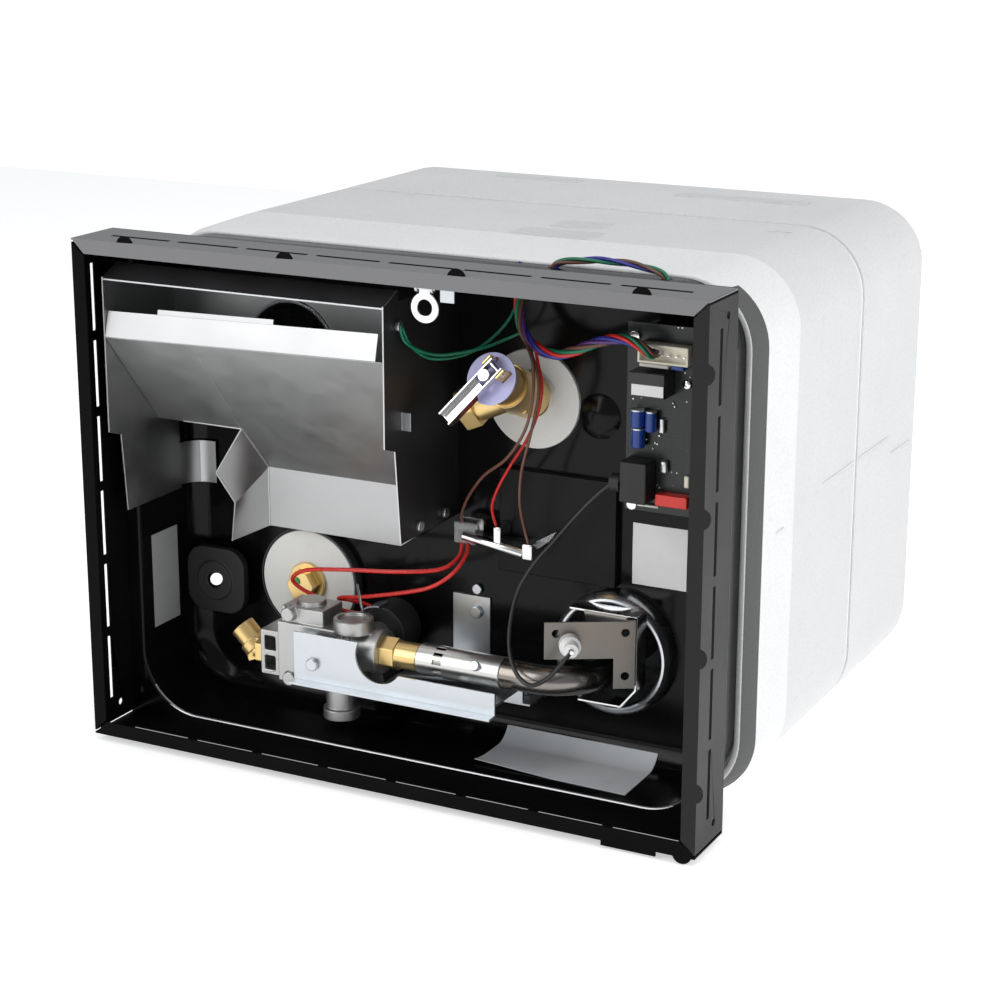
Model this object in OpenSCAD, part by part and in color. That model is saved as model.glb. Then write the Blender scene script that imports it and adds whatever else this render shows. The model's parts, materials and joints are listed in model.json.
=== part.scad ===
// Gas water heater for a caravan: a foam-jacketed tank behind a steel control pan.
// Sizes are in millimetres. While it is drawn, X runs to the right, Y runs from the front lip to the
// back and Z runs up from the middle of the mounting frame.

/* [Mounting frame] */
// Width over the side strips
frame_w = 412; // [392:1:440]
// Height over the top and bottom strips
frame_h = 318; // [308:1:340]
// Depth of the strips, front to back
frame_d = 40; // [38:1:46]
// Thickness of the frame and pan sheet
sheet = 1.2; // [0.8:0.1:2]
// Width of the front lip
lip_w = 9; // [7:0.5:11]
// Slit left open at each frame corner
seam_gap = 1.2; // [0.5:0.1:2]
// Length of one slot in the bend line
slot_len = 42; // [30:1:46]
// Width of a slot in the bend line
slot_w = 3.6; // [2.5:0.1:4.5]
// Bridge left between two slots
slot_gap = 6; // [4:0.5:10]
// Distance of the bend line from the front
slot_y = 18; // [14:0.5:20]
// Radius of a tab on the lip
tab_r = 6; // [5:0.5:7]
// How far a tab stands out of its strip
tab_out = 4; // [2:0.5:4.5]
// Length of the foot on the bottom strip
foot_len = 34; // [28:1:40]
// Distance from the foot to the strip's right end
foot_in = 24; // [20:1:30]
// How far the foot stands below the strip
foot_out = 3; // [1.5:0.5:4]
// Distance from the corner tab's middle to the strip's right end
corner_tab_in = 8; // [8:0.5:12]
// How far the jacket reaches below the frame
jacket_drop = 4; // [2:0.5:6]
// Radius of the screw holes in the side strips
side_hole_r = 2.2; // [1.5:0.1:3]
// Distance of the screw holes from the ends of the side strips
side_hole_end = 10; // [8:1:20]
// Distance of the screw holes from the front
side_hole_y = 27; // [25:1:31]

/* [Control pan] */
// Frame edge to recess, each side
recess_in_x = 12; // [10:0.5:13]
// Frame edge to recess, top and bottom
recess_in_z = 7; // [6:0.5:9]
// Depth of the recess behind the frame
recess_d = 60; // [56:1:66]
// Corner radius of the recess
recess_r = 38; // [32:1:46]
// Radius between the walls and the back of the recess
recess_fillet = 16; // [12:1:18]

/* [Foam jacket] */
// Width of the jacket
jacket_w = 408; // [400:1:412]
// Height of the jacket
jacket_h = 320; // [318:1:330]
// Depth of the jacket
jacket_d = 334; // [326:1:360]
// How far the jacket reaches forward over the pan
jacket_over = 18; // [12:1:22]
// Radius of the long edges and of the back
jacket_r = 42; // [34:1:48]
// Front of the jacket to the seam between its halves
seam_at = 178; // [160:1:210]
// Depth of the groove at the seam
groove_depth = 4; // [3:0.5:6]
// Width of the groove at the seam
groove_w = 6; // [5:0.5:10]

/* [Tank and flue] */
// Width of the tank
tank_w = 330; // [320:1:340]
// Height of the tank
tank_h = 256; // [248:1:262]
// Depth of the tank
tank_d = 278; // [270:1:284]
// Wall of the tank
tank_wall = 2.5; // [1.5:0.1:4]
// Foam between the pan and the tank
tank_gap = 13; // [10:0.5:16]
// Distance of the burner flue from the middle
flue_x = 112; // [106:1:116]
// Height of the burner flue
flue_z = -82; // [-84:1:-78]
// Outer radius of the burner flue
flue_r = 34.5; // [33:0.5:36]
// Distance of the exhaust flue from the middle, to the left
exhaust_x = 104; // [98:1:112]
// Height of the exhaust flue
exhaust_z = 85; // [80:1:88]
// Outer radius of the exhaust flue
exhaust_r = 31; // [28:0.5:32]
// Wall of the flue tubes
flue_wall = 1.6; // [1:0.1:2.5]
// Distance of the water couplings from the middle
coupling_x = -70; // [-80:1:-60]
// Height of each water coupling above and below the middle
coupling_z = 72; // [60:1:80]
// Outer radius of a water coupling
coupling_r = 15; // [13:0.5:18]
// Radius of the coupling thread
water_thread_r = 9.3; // [8:0.1:10.5]
// How far a coupling stands out of the jacket
coupling_out = 10; // [6:1:14]

/* [Flue box] */
// Left side of the flue box to the recess wall
flue_box_gap = 1.5; // [0.5:0.5:3]
// Width of the flue box
flue_box_w = 196; // [190:1:198]
// Front edge of the flue box
flue_box_y = 10; // [8:1:14]
// Top of the flue box
flue_box_top = 135; // [130:1:138]
// Thickness of the flue box sheet
flue_sheet = 1; // [0.6:0.1:1.6]

/* [Relief valve] */
// Distance of the valve from the middle
relief_x = 55; // [52:0.5:58]
// Height of the valve where it leaves the pan
relief_z = 68; // [64:0.5:72]
// Upward tilt of the valve
relief_tilt = 23; // [18:1:26]
// Radius of the bonnet
bonnet_r = 12; // [11:0.5:13]
// Radius of the round tag under the lever
tag_r = 15.5; // [14:0.5:17]
// Length of the lever from its pin
lever_len = 42; // [36:1:46]
// Width of the lever
lever_w = 10; // [9:0.5:11]
// Radius of the lever pin
lever_pin_r = 1.5; // [1.2:0.1:1.8]
// Radius of the outlet thread
relief_thread_r = 9.3; // [8:0.1:9.6]

/* [Gas valve and burner] */
// Distance of the burner axis from the front
burner_y = 52; // [50:0.5:54]
// Height of the burner axis
burner_z = -90; // [-92:0.5:-88]
// Outer radius of the burner tube
burner_r = 9; // [8.6:0.1:9.4]
// Wall of the burner tube
burner_wall = 1; // [0.6:0.1:1.5]
// Radius of the burner bend
bend_r = 32; // [28:1:34]
// Running clearance of the turning and sliding parts
run_fit = 0.06; // [0.03:0.01:0.1]
// Front of the gas valve bracket
bracket_y = 29; // [26:1:31]
// Thickness of the zinc plated brackets
bracket_t = 1.5; // [1:0.1:2]
// Radius of a solenoid coil
coil_r = 17; // [15:0.5:18]
// Radius of the flare thread at the gas inlet
gas_thread_r = 7.9; // [7:0.1:8.5]
// Bore of the gas line grommet
grommet_bore = 5; // [4:0.5:7]

/* [Control board] */
// Left edge of the board to the right recess wall
board_in = 69; // [66:1:72]
// Width of the board
board_w = 61; // [56:1:63]
// Height of the board
board_h = 111; // [106:1:114]
// Bottom edge of the board
board_z = 15; // [12:1:18]
// Front of the board to the back of the pan
board_out = 22; // [19:1:26]

/* [Hidden] */
$fn = 48;
fit = 0.3;
panel_y = frame_d + recess_d;
recess_w = frame_w - 2 * recess_in_x;
recess_h = frame_h - 2 * recess_in_z;
base_z = -frame_h / 2 - jacket_drop;
jacket_top = base_z + jacket_h;
jacket_mid = base_z + jacket_h / 2;
jacket_y = panel_y - jacket_over;
seam_y = jacket_y + seam_at;
jacket_back = jacket_y + jacket_d;
overall_d = jacket_back + coupling_out;
tank_y = panel_y + sheet + tank_gap;
tank_back = tank_y + tank_d;
tank_r = 25;
flue_end = tank_y + 205;
collector_d = 45;
collector_r = flue_r + 2.5;
flue_rim_y = panel_y - 12;
box_l = -recess_w / 2 + flue_box_gap;
box_r = box_l + flue_box_w;
box_back = panel_y - recess_fillet - flue_sheet;
exhaust_rim_y = box_back - 2;
relief_hole_r = 31;
drain_x = -102;
drain_z = -69;
drain_hole_r = 36;
drain_front = panel_y - 7;
thermostat_z = -28;
thermostat_r = 11;
grommet_x = -recess_w / 2 + 25;
grommet_z = -76;
board_x = recess_w / 2 - board_in;
cover_l = 34;
cover_r = board_x - 13;
thermostat_xs = [cover_l + 18, cover_r - 24];
board_y = panel_y - board_out;
shutter_r = burner_r + run_fit + 0.8;
boss_end = -22;
tube_start = 3;
bend_x = flue_x - bend_r;
plate_y = 58;
plate_z = -63;
plate_up = 12.2;
frame_y = 74;
electrode_x = -12;
strap_x = 13;
shelf_z = burner_z - shutter_r - 2;
foot_z = shelf_z - 13;
elbow_place = [-113, 50, burner_z - 11];
elbow_tilt = 45;
coil_y0 = 70;
coil_y1 = 92;
coil_list = [[-36, -86], [-51, -119]];
latch_x = box_r + 24.5;
latch_y = 15;
latch_z = frame_h / 2 - 12;
outlet_turn = 24;
outlet_len = 36;
lever_clock = 127;
lever_pivot = 7;
ear_y = lever_w / 2 + 1.3;
lever_lift = 7.2;
tag_out = 60;

// Hand-chosen routes of the leads
trunk_route = [[53, 84, 153], [54, 81, 138], [56, 77, 124], [61, 74, 113], [71, 71, 106],
    [84, 69, 104], [97, 67, 108], [110, 65, 114], [122, 63, 118], [133, 61, 119], [141, 61, 116],
    [145, 64, 112], [146, 69, 111]];
ground_route = [[6, 24, 122], [7, 28, 112], [11, 38, 105], [18, 48, 101], [29, 56, 102],
    [41, 63, 105], [52, 69, 110], [60, 73, 114]];
earth_route = [[6, 27, 120], [8, 34, 108], [14, 46, 99], [26, 58, 99], [36, 66, 104], [45, 73, 113],
    [51, 78, 123], [54, 81, 134]];
sensor_route_a = [[61, 73, 113], [66, 68, 107], [73, 61, 99], [76, 56, 85], [74, 55, 69], [68, 56, 55],
    [56, 60, 40], [38, 67, 26], [24, 75, 10], [16, 81, -3], [14.5, 84, -10.5]];
sensor_route_b = [[66, 72, 109], [70, 66, 103], [75, 62, 96], [78, 59, 84], [76, 58, 69], [71, 60, 52],
    [64, 65, 32], [60, 71, 12], [59, 78, -4], [60.5, 82, -17.5]];
sensor_route_c = [[70, 70, 106], [74, 66, 98], [78, 63, 86], [76, 62, 70], [68, 63, 52], [56, 67, 35],
    [45, 72, 18], [38.5, 77, 4], [38.5, 82, -8.5]];
valve_route_a = [[15, 83, -23.5], [15, 78, -31], [8, 68, -37], [-16, 60, -40], [-56, 58, -44],
    [-83, 60, -49], [-95, 63, -57], [-92, 67, -64], [-81, 71, -70], [-70, 76, -77], [-60, 79, -79],
    [-50.6, 80, -78]];
valve_route_b = [[19, 83, -23.5], [21, 76, -29], [17, 67, -38], [5, 63, -47], [-12, 62, -53],
    [-43, 62.5, -61], [-59, 65, -64.5], [-65, 69, -67.5], [-62, 75, -69.5], [-55, 80, -72],
    [-48.3, 82, -74.3]];
ignition_route = [[121, 70, 32.5], [110, 67, 22], [98, 64, 8], [86, 63, -7], [74, 62, -22], [66, 58, -38],
    [64, 52, -55], [67, 44, -70], [75, 37, -82], [86, 34, -87], [97, 34, -81], [105, 37, -71],
    [109, 40, -65]];
top_route = [[78, 76, 147], [78, 76, 153], [83, 77, 156.4], [97, 78, 158.6], [112, 78, 159.5], [130, 77, 158.8],
    [145, 75, 156.2], [150, 74, 153], [150, 74, 147]];
top_rise = recess_h / 2 - 152;

module place() {
    translate([0, -overall_d / 2, -base_z]) children();
}

// A flat shape drawn in X and Z, given thickness along Y
module slab(y, t) {
    translate([0, y + t, 0]) rotate([90, 0, 0]) linear_extrude(t) children();
}

module round_y(x, z, y0, y1, r) {
    translate([x, y0, z]) rotate([-90, 0, 0]) cylinder(h = y1 - y0, r = r);
}

module round_x(x0, x1, y, z, r) {
    translate([x0, y, z]) rotate([0, 90, 0]) cylinder(h = x1 - x0, r = r);
}

module hex_x(x0, x1, y, z, r) {
    translate([x0, y, z]) rotate([0, 90, 0]) cylinder(h = x1 - x0, r = r, $fn = 6);
}

module block(low, high) {
    translate(low) cube(high - low);
}

module round_rect(w, h, r) {
    square([w - 2 * r, h], center = true);
    square([w, h - 2 * r], center = true);
    for (sx = [-1, 1], sz = [-1, 1])
        translate([sx * (w / 2 - r), sz * (h / 2 - r)]) circle(r);
}

function unit(v) = v / norm(v);
function blend(a, b, c, d, t) = 0.5 * ((2 * b) + (c - a) * t + (2 * a - 5 * b + 4 * c - d) * t * t
    + (3 * b - a - 3 * c + d) * t * t * t);
function smooth(p, n) = concat([for (i = [0 : len(p) - 2]) for (k = [0 : n - 1])
    blend(p[max(i - 1, 0)], p[i], p[i + 1], p[min(i + 2, len(p) - 1)], k / n)], [p[len(p) - 1]]);
function heading(p, i) = unit(p[min(i + 1, len(p) - 1)] - p[max(i - 1, 0)]);
function carry(p, i, n) = i == len(p) ? [] :
    let (t = heading(p, i), m = unit(n - (n * t) * t)) concat([m], carry(p, i + 1, m));

// A round lead swept along a path
module lead(path, r, sides = 8) {
    side = carry(path, 0, abs(heading(path, 0)[1]) < 0.9 ? [0, 1, 0] : [1, 0, 0]);
    rings = len(path);
    points = [for (i = [0 : rings - 1]) for (k = [0 : sides - 1])
        path[i] + r * (cos(k * 360 / sides) * side[i]
            + sin(k * 360 / sides) * cross(heading(path, i), side[i]))];
    tube = [for (i = [0 : rings - 2]) for (k = [0 : sides - 1]) let (j = (k + 1) % sides)
        each [[i * sides + k, (i + 1) * sides + k, i * sides + j],
            [i * sides + j, (i + 1) * sides + k, (i + 1) * sides + j]]];
    caps = [[for (k = [0 : sides - 1]) k],
        [for (k = [0 : sides - 1]) rings * sides - 1 - k]];
    polyhedron(points, concat(tube, caps));
}

function coil_path(r, length, turns) = [for (i = [0 : turns * 10])
    [r * cos(i * 36), length * i / (turns * 10), r * sin(i * 36)]];

// One strip of the frame, lying along X with its outer face at Z = 0
module strip(length, lip_inner, tab_pitch, with_holes, with_tabs) {
    count = floor((length - 2 * slot_gap) / (slot_len + slot_gap));
    difference() {
        union() {
            block([-length / 2, 0, -sheet], [length / 2, frame_d, 0]);
            slab(0, sheet) polygon([[-length / 2, 0], [length / 2, 0], [lip_inner / 2, -lip_w],
                [-lip_inner / 2, -lip_w]]);
            if (with_tabs) for (i = [-1.5 : 1 : 1.5])
                round_y(i * tab_pitch, tab_out - tab_r, 0, sheet, tab_r);
        }
        for (i = [0 : count - 1])
            translate([(i - (count - 1) / 2) * (slot_len + slot_gap), slot_y, 0])
                cube([slot_len, slot_w, 4 * sheet], center = true);
        if (with_holes)
            for (s = [-1, 1])
                translate([s * (length / 2 - side_hole_end), side_hole_y, -2 * sheet])
                    cylinder(h = 4 * sheet, r = side_hole_r);
    }
}

module frame_top() {
    color("black") place() translate([0, 0, frame_h / 2])
        strip(frame_w, frame_w - 2 * lip_w, frame_w / 3.7, false, true);
}

module frame_bottom() {
    color("black") place() mirror([0, 0, 1]) translate([0, 0, frame_h / 2]) {
        strip(frame_w, frame_w - 2 * lip_w, frame_w / 3.7, false, false);
        block([frame_w / 2 - foot_in - foot_len, 0, -sheet], [frame_w / 2 - foot_in, sheet, foot_out]);
        round_y(frame_w / 2 - corner_tab_in, tab_out - tab_r, 0, sheet, tab_r);
    }
}

module side_strip(with_tabs) {
    translate([frame_w / 2, 0, 0]) rotate([0, 90, 0])
        strip(frame_h - 2 * sheet - 2 * seam_gap, frame_h - 2 * lip_w - 2 * seam_gap, frame_h / 4, true,
            with_tabs);
}

module frame_right() {
    color("black") place() side_strip(true);
}

module frame_left() {
    color("black") place() mirror([1, 0, 0]) side_strip(false);
}

// Half section of the drawn recess: wall, round and back, measured from a corner axis
module pan_section() {
    flat = recess_r - recess_fillet;
    translate([recess_r, frame_d]) square([sheet, recess_d - recess_fillet]);
    translate([0, panel_y]) square([flat, sheet]);
    translate([flat, panel_y - recess_fillet]) intersection() {
        difference() {
            circle(recess_fillet + sheet);
            circle(recess_fillet);
        }
        square(recess_fillet + sheet);
    }
}

module pan_shell() {
    hw = recess_w / 2 - recess_r;
    hh = recess_h / 2 - recess_r;
    slab(frame_d, sheet) difference() {
        square([frame_w, frame_h], center = true);
        round_rect(recess_w, recess_h, recess_r);
    }
    block([-hw, panel_y, -hh], [hw, panel_y + sheet, hh]);
    for (a = [0, 180]) rotate([0, a, 0]) {
        translate([hw, 0, -hh]) linear_extrude(2 * hh) pan_section();
        translate([hw, 0, -hh]) rotate([-90, 0, 0]) rotate_extrude(angle = 90) pan_section();
    }
    for (a = [90, 270]) rotate([0, a, 0]) {
        translate([hh, 0, -hw]) linear_extrude(2 * hw) pan_section();
        translate([hh, 0, -hw]) rotate([-90, 0, 0]) rotate_extrude(angle = 90) pan_section();
    }
}

module front_pan() {
    color("black") place() difference() {
        union() {
            pan_shell();
            intersection() {
                translate([98, panel_y + 22, 62]) sphere(26);
                block([60, panel_y - 6, 30], [140, panel_y + 0.5, 90]);
            }
        }
        round_y(relief_x, relief_z, panel_y - 1, panel_y + 9, relief_hole_r);
        round_y(drain_x, drain_z, panel_y - 1, panel_y + 9, drain_hole_r);
        round_y(flue_x, flue_z, panel_y - 1, panel_y + 9, flue_r + fit);
        round_y(-exhaust_x, exhaust_z, panel_y - 1, panel_y + 9, exhaust_r + fit);
        round_y(grommet_x, grommet_z, panel_y - 1, panel_y + 9, grommet_bore + 4);
        for (x = thermostat_xs) round_y(x, thermostat_z, panel_y - 1, panel_y + 9, thermostat_r + fit);
        for (q = [trunk_route[0], top_route[0], top_route[len(top_route) - 1]])
            translate([q[0], q[1], recess_h / 2 - 1]) cylinder(h = 4, r = 2.9);
    }
}
// Outline of the jacket at one depth, as four short rounds for a hull
module jacket_ring(y, inset_x, inset_top, inset_low) {
    r = jacket_r - inset_x;
    low = base_z + inset_low + r;
    high = jacket_top - inset_top - r;
    for (sx = [-1, 1], z = [low, high])
        round_y(sx * (jacket_w / 2 - inset_x - r), z, y, y + 0.2, r, $fn = 40);
}

module tank_form(grow) {
    r = tank_r + grow;
    w = tank_w / 2 - tank_r;
    h = tank_h / 2 - tank_r;
    hull() for (sx = [-1, 1], sz = [-1, 1], y = [tank_y + tank_r, tank_back - tank_r])
        translate([sx * w, y, sz * h]) sphere(r, $fn = 24);
}

// What the jacket leaves free for the pan, the tank and their fittings
module jacket_hollow() {
    tank_form(0.5);
    slab(jacket_y - 1, panel_y + sheet + 0.3 - jacket_y + 1)
        round_rect(recess_w + 2 * sheet + 0.8, recess_h + 2 * sheet + 0.8, recess_r + sheet + 0.4);
    round_y(relief_x, relief_z, panel_y, tank_y + 2, relief_hole_r + 0.5);
    round_y(drain_x, drain_z, panel_y, tank_y + 2, drain_hole_r);
    round_y(flue_x, flue_z, panel_y, tank_y + 30, flue_r + fit);
    round_y(-exhaust_x, exhaust_z, panel_y, tank_y + 30, exhaust_r + fit);
    for (x = thermostat_xs) round_y(x, thermostat_z, panel_y, tank_y + 2, thermostat_r + fit);
    round_y(grommet_x, grommet_z, panel_y, panel_y + 6, grommet_bore + 4);
    translate([grommet_x, panel_y - 6, grommet_z]) rotate([-90, 0, 38])
        cylinder(h = 140, r = grommet_bore + 5);
}

// Cuts the groove that runs round the seam
module seam_cut() {
    difference() {
        block([-jacket_w, seam_y - groove_w / 2, base_z - 50],
            [jacket_w, seam_y + groove_w / 2, jacket_top + 50]);
        translate([0, 0, jacket_mid]) slab(seam_y - groove_w, 2 * groove_w)
            round_rect(jacket_w - 2 * groove_depth, jacket_h - 2 * groove_depth, jacket_r - groove_depth);
    }
}

module jacket_front() {
    color("whitesmoke") place() difference() {
        hull() {
            jacket_ring(jacket_y, 5, 2.4, 3);
            jacket_ring(jacket_y + 14, 0, 1.6, 0);
            jacket_ring(jacket_y + 65, 0, 0, 0);
            jacket_ring(seam_y - 0.2, 0, 0, 0);
        }
        jacket_hollow();
        seam_cut();
    }
}

module jacket_rear() {
    color("whitesmoke") place() difference() {
        hull() {
            jacket_ring(seam_y, 0, 0, 0);
            for (sx = [-1, 1], z = [base_z + jacket_r, jacket_top - jacket_r])
                translate([sx * (jacket_w / 2 - jacket_r), jacket_back - jacket_r, z])
                    sphere(jacket_r, $fn = 40);
        }
        tank_form(0.5);
        seam_cut();
        for (s = [-1, 1])
            round_y(coupling_x, s * coupling_z, tank_back - 5, jacket_back + 5, coupling_r + fit);
    }
}

module seam_tape() {
    color("white") place() translate([0, 0, jacket_mid]) slab(seam_y - groove_w / 2 + 0.2, groove_w - 0.4)
        difference() {
            round_rect(jacket_w - 0.6, jacket_h - 0.6, jacket_r - 0.3);
            round_rect(jacket_w - 2 * groove_depth + 0.4, jacket_h - 2 * groove_depth + 0.4,
                jacket_r - groove_depth + 0.2);
        }
}

module water_tank() {
    color("silver") place() difference() {
        tank_form(0);
        tank_form(-tank_wall);
        round_y(flue_x, flue_z, tank_y - 2, tank_y + 60, flue_r + 0.1);
        round_y(-exhaust_x, exhaust_z, tank_y - 2, tank_y + 60, exhaust_r + 0.1);
        round_y(drain_x, drain_z, tank_y - 2, tank_y + 10, 10.1);
        relief_pose() round_y(0, 0, -5, 60, 10.1);
        for (s = [-1, 1]) round_y(coupling_x, s * coupling_z, tank_back - 10, tank_back + 5, 11.1);
    }
}

module burner_flue() {
    color("silver") place() difference() {
        union() {
            round_y(flue_x, flue_z, flue_rim_y, flue_end + 5, flue_r);
            round_y(flue_x, flue_z, panel_y - 2, panel_y, flue_r + 5);
        }
        round_y(flue_x, flue_z, flue_rim_y - 1, flue_end + 9, flue_r - flue_wall);
    }
}

module exhaust_flue() {
    color("silver") place() difference() {
        round_y(-exhaust_x, exhaust_z, exhaust_rim_y, flue_end + 5, exhaust_r);
        round_y(-exhaust_x, exhaust_z, exhaust_rim_y - 1, flue_end + 9, exhaust_r - flue_wall);
    }
}

// Outline that joins the two flue tubes behind
module link_shape(r) {
    reach = norm([flue_x + exhaust_x, exhaust_z - flue_z]);
    translate([flue_x, flue_z]) circle(r);
    translate([-exhaust_x, exhaust_z]) circle(r);
    translate([flue_x, flue_z]) rotate(atan2(exhaust_z - flue_z, -exhaust_x - flue_x))
        translate([0, -0.94 * r]) square([reach, 1.88 * r]);
}

module flue_collector() {
    color("silver") place() difference() {
        slab(flue_end, collector_d) link_shape(collector_r);
        slab(flue_end + flue_wall, collector_d - 2 * flue_wall) link_shape(collector_r - flue_wall);
        round_y(flue_x, flue_z, flue_end - 1, flue_end + 9, flue_r + 0.1);
        round_y(-exhaust_x, exhaust_z, flue_end - 1, flue_end + 9, exhaust_r + 0.1);
    }
}

module water_couplings() {
    color("silver") place() for (s = [-1, 1]) difference() {
        union() {
            round_y(coupling_x, s * coupling_z, tank_back, overall_d, coupling_r);
            round_y(coupling_x, s * coupling_z, tank_back - 8, tank_back + 1, 11);
        }
        round_y(coupling_x, s * coupling_z, overall_d - 20, overall_d + 1, water_thread_r);
        round_y(coupling_x, s * coupling_z, tank_back - 9, overall_d, 7.5);
    }
}

module dip_tube() {
    color("white") place() difference() {
        round_y(coupling_x, -coupling_z, tank_y + 40, overall_d - 20.5, 7.3);
        round_y(coupling_x, -coupling_z, tank_y + 39, overall_d, 5.9);
    }
}

// Stands the valve on the pan: its own Y axis runs back into the tank
module relief_pose() {
    translate([relief_x, panel_y, relief_z]) rotate([-relief_tilt, 0, 0]) children();
}

// The valve's face: X along the lever, Z out of the valve
module lever_pose() {
    relief_pose() translate([0, -tag_out, 0]) rotate([0, lever_clock, 0]) rotate([90, 0, 0]) children();
}

module outlet_pose() {
    relief_pose() translate([0, -25, 0]) rotate([0, -outlet_turn, 0]) children();
}

module relief_body() {
    color("goldenrod") place() {
        difference() {
            union() {
                relief_pose() {
                    round_y(0, 0, -8, 34, 10);
                    translate([0, -14, 0]) rotate([90, 0, 0]) cylinder(h = 10, r = 15, $fn = 6);
                    round_y(0, 0, -40, -7, 13.5);
                    round_y(0, 0, -tag_out, -39, bonnet_r);
                }
                outlet_pose() {
                    round_x(-outlet_len, 0, 0, 0, 10.5);
                    hex_x(-outlet_len, 10 - outlet_len, 0, 0, 14);
                }
                lever_pose() for (s = [-1, 1])
                    block([-lever_pivot - 3.5, s * ear_y - 0.8, -3],
                        [-lever_pivot + 3.5, s * ear_y + 0.8, lever_lift + 3.2]);
            }
            relief_pose() {
                round_y(0, 0, -52, -14, 9);
                round_y(0, 0, -15, 36, 6);
                round_y(0, 0, -tag_out - 1, -50, 2.5 + run_fit);
            }
            outlet_pose() {
                round_x(-outlet_len - 1, 14 - outlet_len, 0, 0, relief_thread_r);
                round_x(13 - outlet_len, -2, 0, 0, 6.5);
            }
            lever_pose() translate([-lever_pivot, 0, lever_lift]) rotate([90, 0, 0])
                cylinder(h = 60, r = lever_pin_r, center = true);
        }
    }
}

module relief_stem() {
    color("silver") place() relief_pose() {
        round_y(0, 0, -tag_out - 9, -16, 2.5);
        round_y(0, 0, -18, -15.2, 7.5);
        round_y(0, 0, -tag_out - 12, -tag_out - 9, 3.6);
    }
}

module relief_spring() {
    color("silver") place() relief_pose() translate([0, -50, 0]) lead(coil_path(5.6, 31, 6), 0.9, 6);
}

module relief_tag() {
    color("lavender") place() lever_pose() difference() {
        cylinder(h = 1.2, r = tag_r);
        translate([0, 0, -1]) cylinder(h = 4, r = 3.2);
        for (s = [-1, 1])
            block([-lever_pivot - 3.9, s * ear_y - 1.2, -1], [-lever_pivot + 3.9, s * ear_y + 1.2, 4]);
    }
}

module relief_lever() {
    half = lever_w / 2;
    color("silver") place() lever_pose() difference() {
        union() {
            for (s = [-1, 1])
                block([-lever_pivot - 3, s * (half - 0.6) - 0.6, lever_lift - 3],
                    [lever_len - lever_pivot, s * (half - 0.6) + 0.6, lever_lift + 3]);
            block([6, -half, lever_lift - 3], [lever_len - lever_pivot, half, lever_lift - 1.8]);
        }
        translate([-lever_pivot, 0, lever_lift]) rotate([90, 0, 0])
            cylinder(h = 60, r = lever_pin_r + run_fit, center = true);
    }
}

module lever_pin() {
    color("silver") place() lever_pose() translate([-lever_pivot, 0, lever_lift]) rotate([90, 0, 0])
        cylinder(h = lever_w + 4.2, r = lever_pin_r, center = true);
}

module port_seals() {
    color("white") place() {
        difference() {
            round_y(relief_x, relief_z, panel_y - 2, tank_y - 0.5, relief_hole_r - 0.5);
            relief_pose() round_y(0, 0, -16, 40, 10.4);
            relief_pose() translate([0, -4, 0]) rotate([90, 0, 0]) cylinder(h = 14, r = 15.6);
        }
        difference() {
            round_y(drain_x, drain_z, drain_front, tank_y - 0.5, drain_hole_r - 2);
            round_y(drain_x, drain_z, drain_front - 2, tank_y + 5, 10.3);
        }
    }
}

module drain_plug() {
    color("goldenrod") place() {
        round_y(drain_x, drain_z, drain_front, tank_y + 9, 10);
        round_y(drain_x, drain_z, drain_front - 3, drain_front, 13);
        translate([drain_x, drain_front - 3, drain_z]) rotate([90, 0, 0]) cylinder(h = 8, r = 10, $fn = 6);
    }
}

module gas_valve_body() {
    color("silver") place() difference() {
        union() {
            block([-90, 36, -115], [-46, 66, -76]);
            block([-88, 38, -77], [-58, 62, -66]);
            block([elbow_place[0] + 9, 38, -113], [-89, 62, -84]);
            block([-48, 40, -106], [-40, 64, -76]);
            round_x(-44, boss_end, burner_y, burner_z, 14);
            translate([-73, 50, -67]) cylinder(h = 4, r = 9);
            translate([-41, 46, -78]) cylinder(h = 9, r = 12.5);
            translate([-54, 52, -138]) cylinder(h = 24, r = 9.5);
            translate([-54, 52, -138]) cylinder(h = 7, r = 11.5);
            for (z = [-70, -112]) round_y(-81, z, 33, 40, 4.5);
            for (c = coil_list) round_y(c[0], c[1], burner_y, coil_y0, 8);
        }
        translate([-41, 46, -71]) cylinder(h = 3, r = 9);
        round_x(-42, boss_end + 1, burner_y, burner_z, 7);
        for (c = coil_list) round_y(c[0], c[1], coil_y0 - 4, coil_y0 + 1, 4 + fit);
        for (z = [-110, -97]) block([-101, 37, z], [-93, 58, z + 9]);
        translate([-54, 52, -139]) cylinder(h = 12, r = 6);
    }
}

module valve_bracket() {
    low = burner_z - 20;
    rail_r = 65;
    color("silver") place() difference() {
        union() {
            block([-74, bracket_y, low], [-12, bracket_y + bracket_t, burner_z + 12]);
            block([-13, bracket_y, low], [rail_r, bracket_y + bracket_t, burner_z - 5]);
            block([-74, bracket_y - 7, low], [rail_r, bracket_y + bracket_t, low + bracket_t]);
            block([-12, bracket_y, shelf_z - bracket_t], [rail_r, panel_y - 30, shelf_z]);
            block([-73, bracket_y, -108], [-62, 36, -80]);
        }
        round_y(-14, burner_z + 4, bracket_y - 5, 60, 16);
    }
}

// The elbow's free end points up to the left
module elbow_pose() {
    translate(elbow_place) rotate([0, -elbow_tilt, 0]) children();
}

module inlet_elbow() {
    x = elbow_place[0];
    y = elbow_place[1];
    z = elbow_place[2];
    color("goldenrod") place() difference() {
        union() {
            round_x(x, x + 9, y, z, 8);
            hex_x(x + 3, x + 9, y, z, 11);
            translate(elbow_place) rotate([0, -elbow_tilt / 2, 0]) cube(13, center = true);
            elbow_pose() {
                cylinder(h = 6, r = gas_thread_r + 1.4);
                cylinder(h = 17, r = gas_thread_r);
            }
        }
        elbow_pose() translate([0, 0, -2]) cylinder(h = 30, r = 4.5);
        round_x(x - 1, x + 10, y, z, 4);
    }
}

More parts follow.
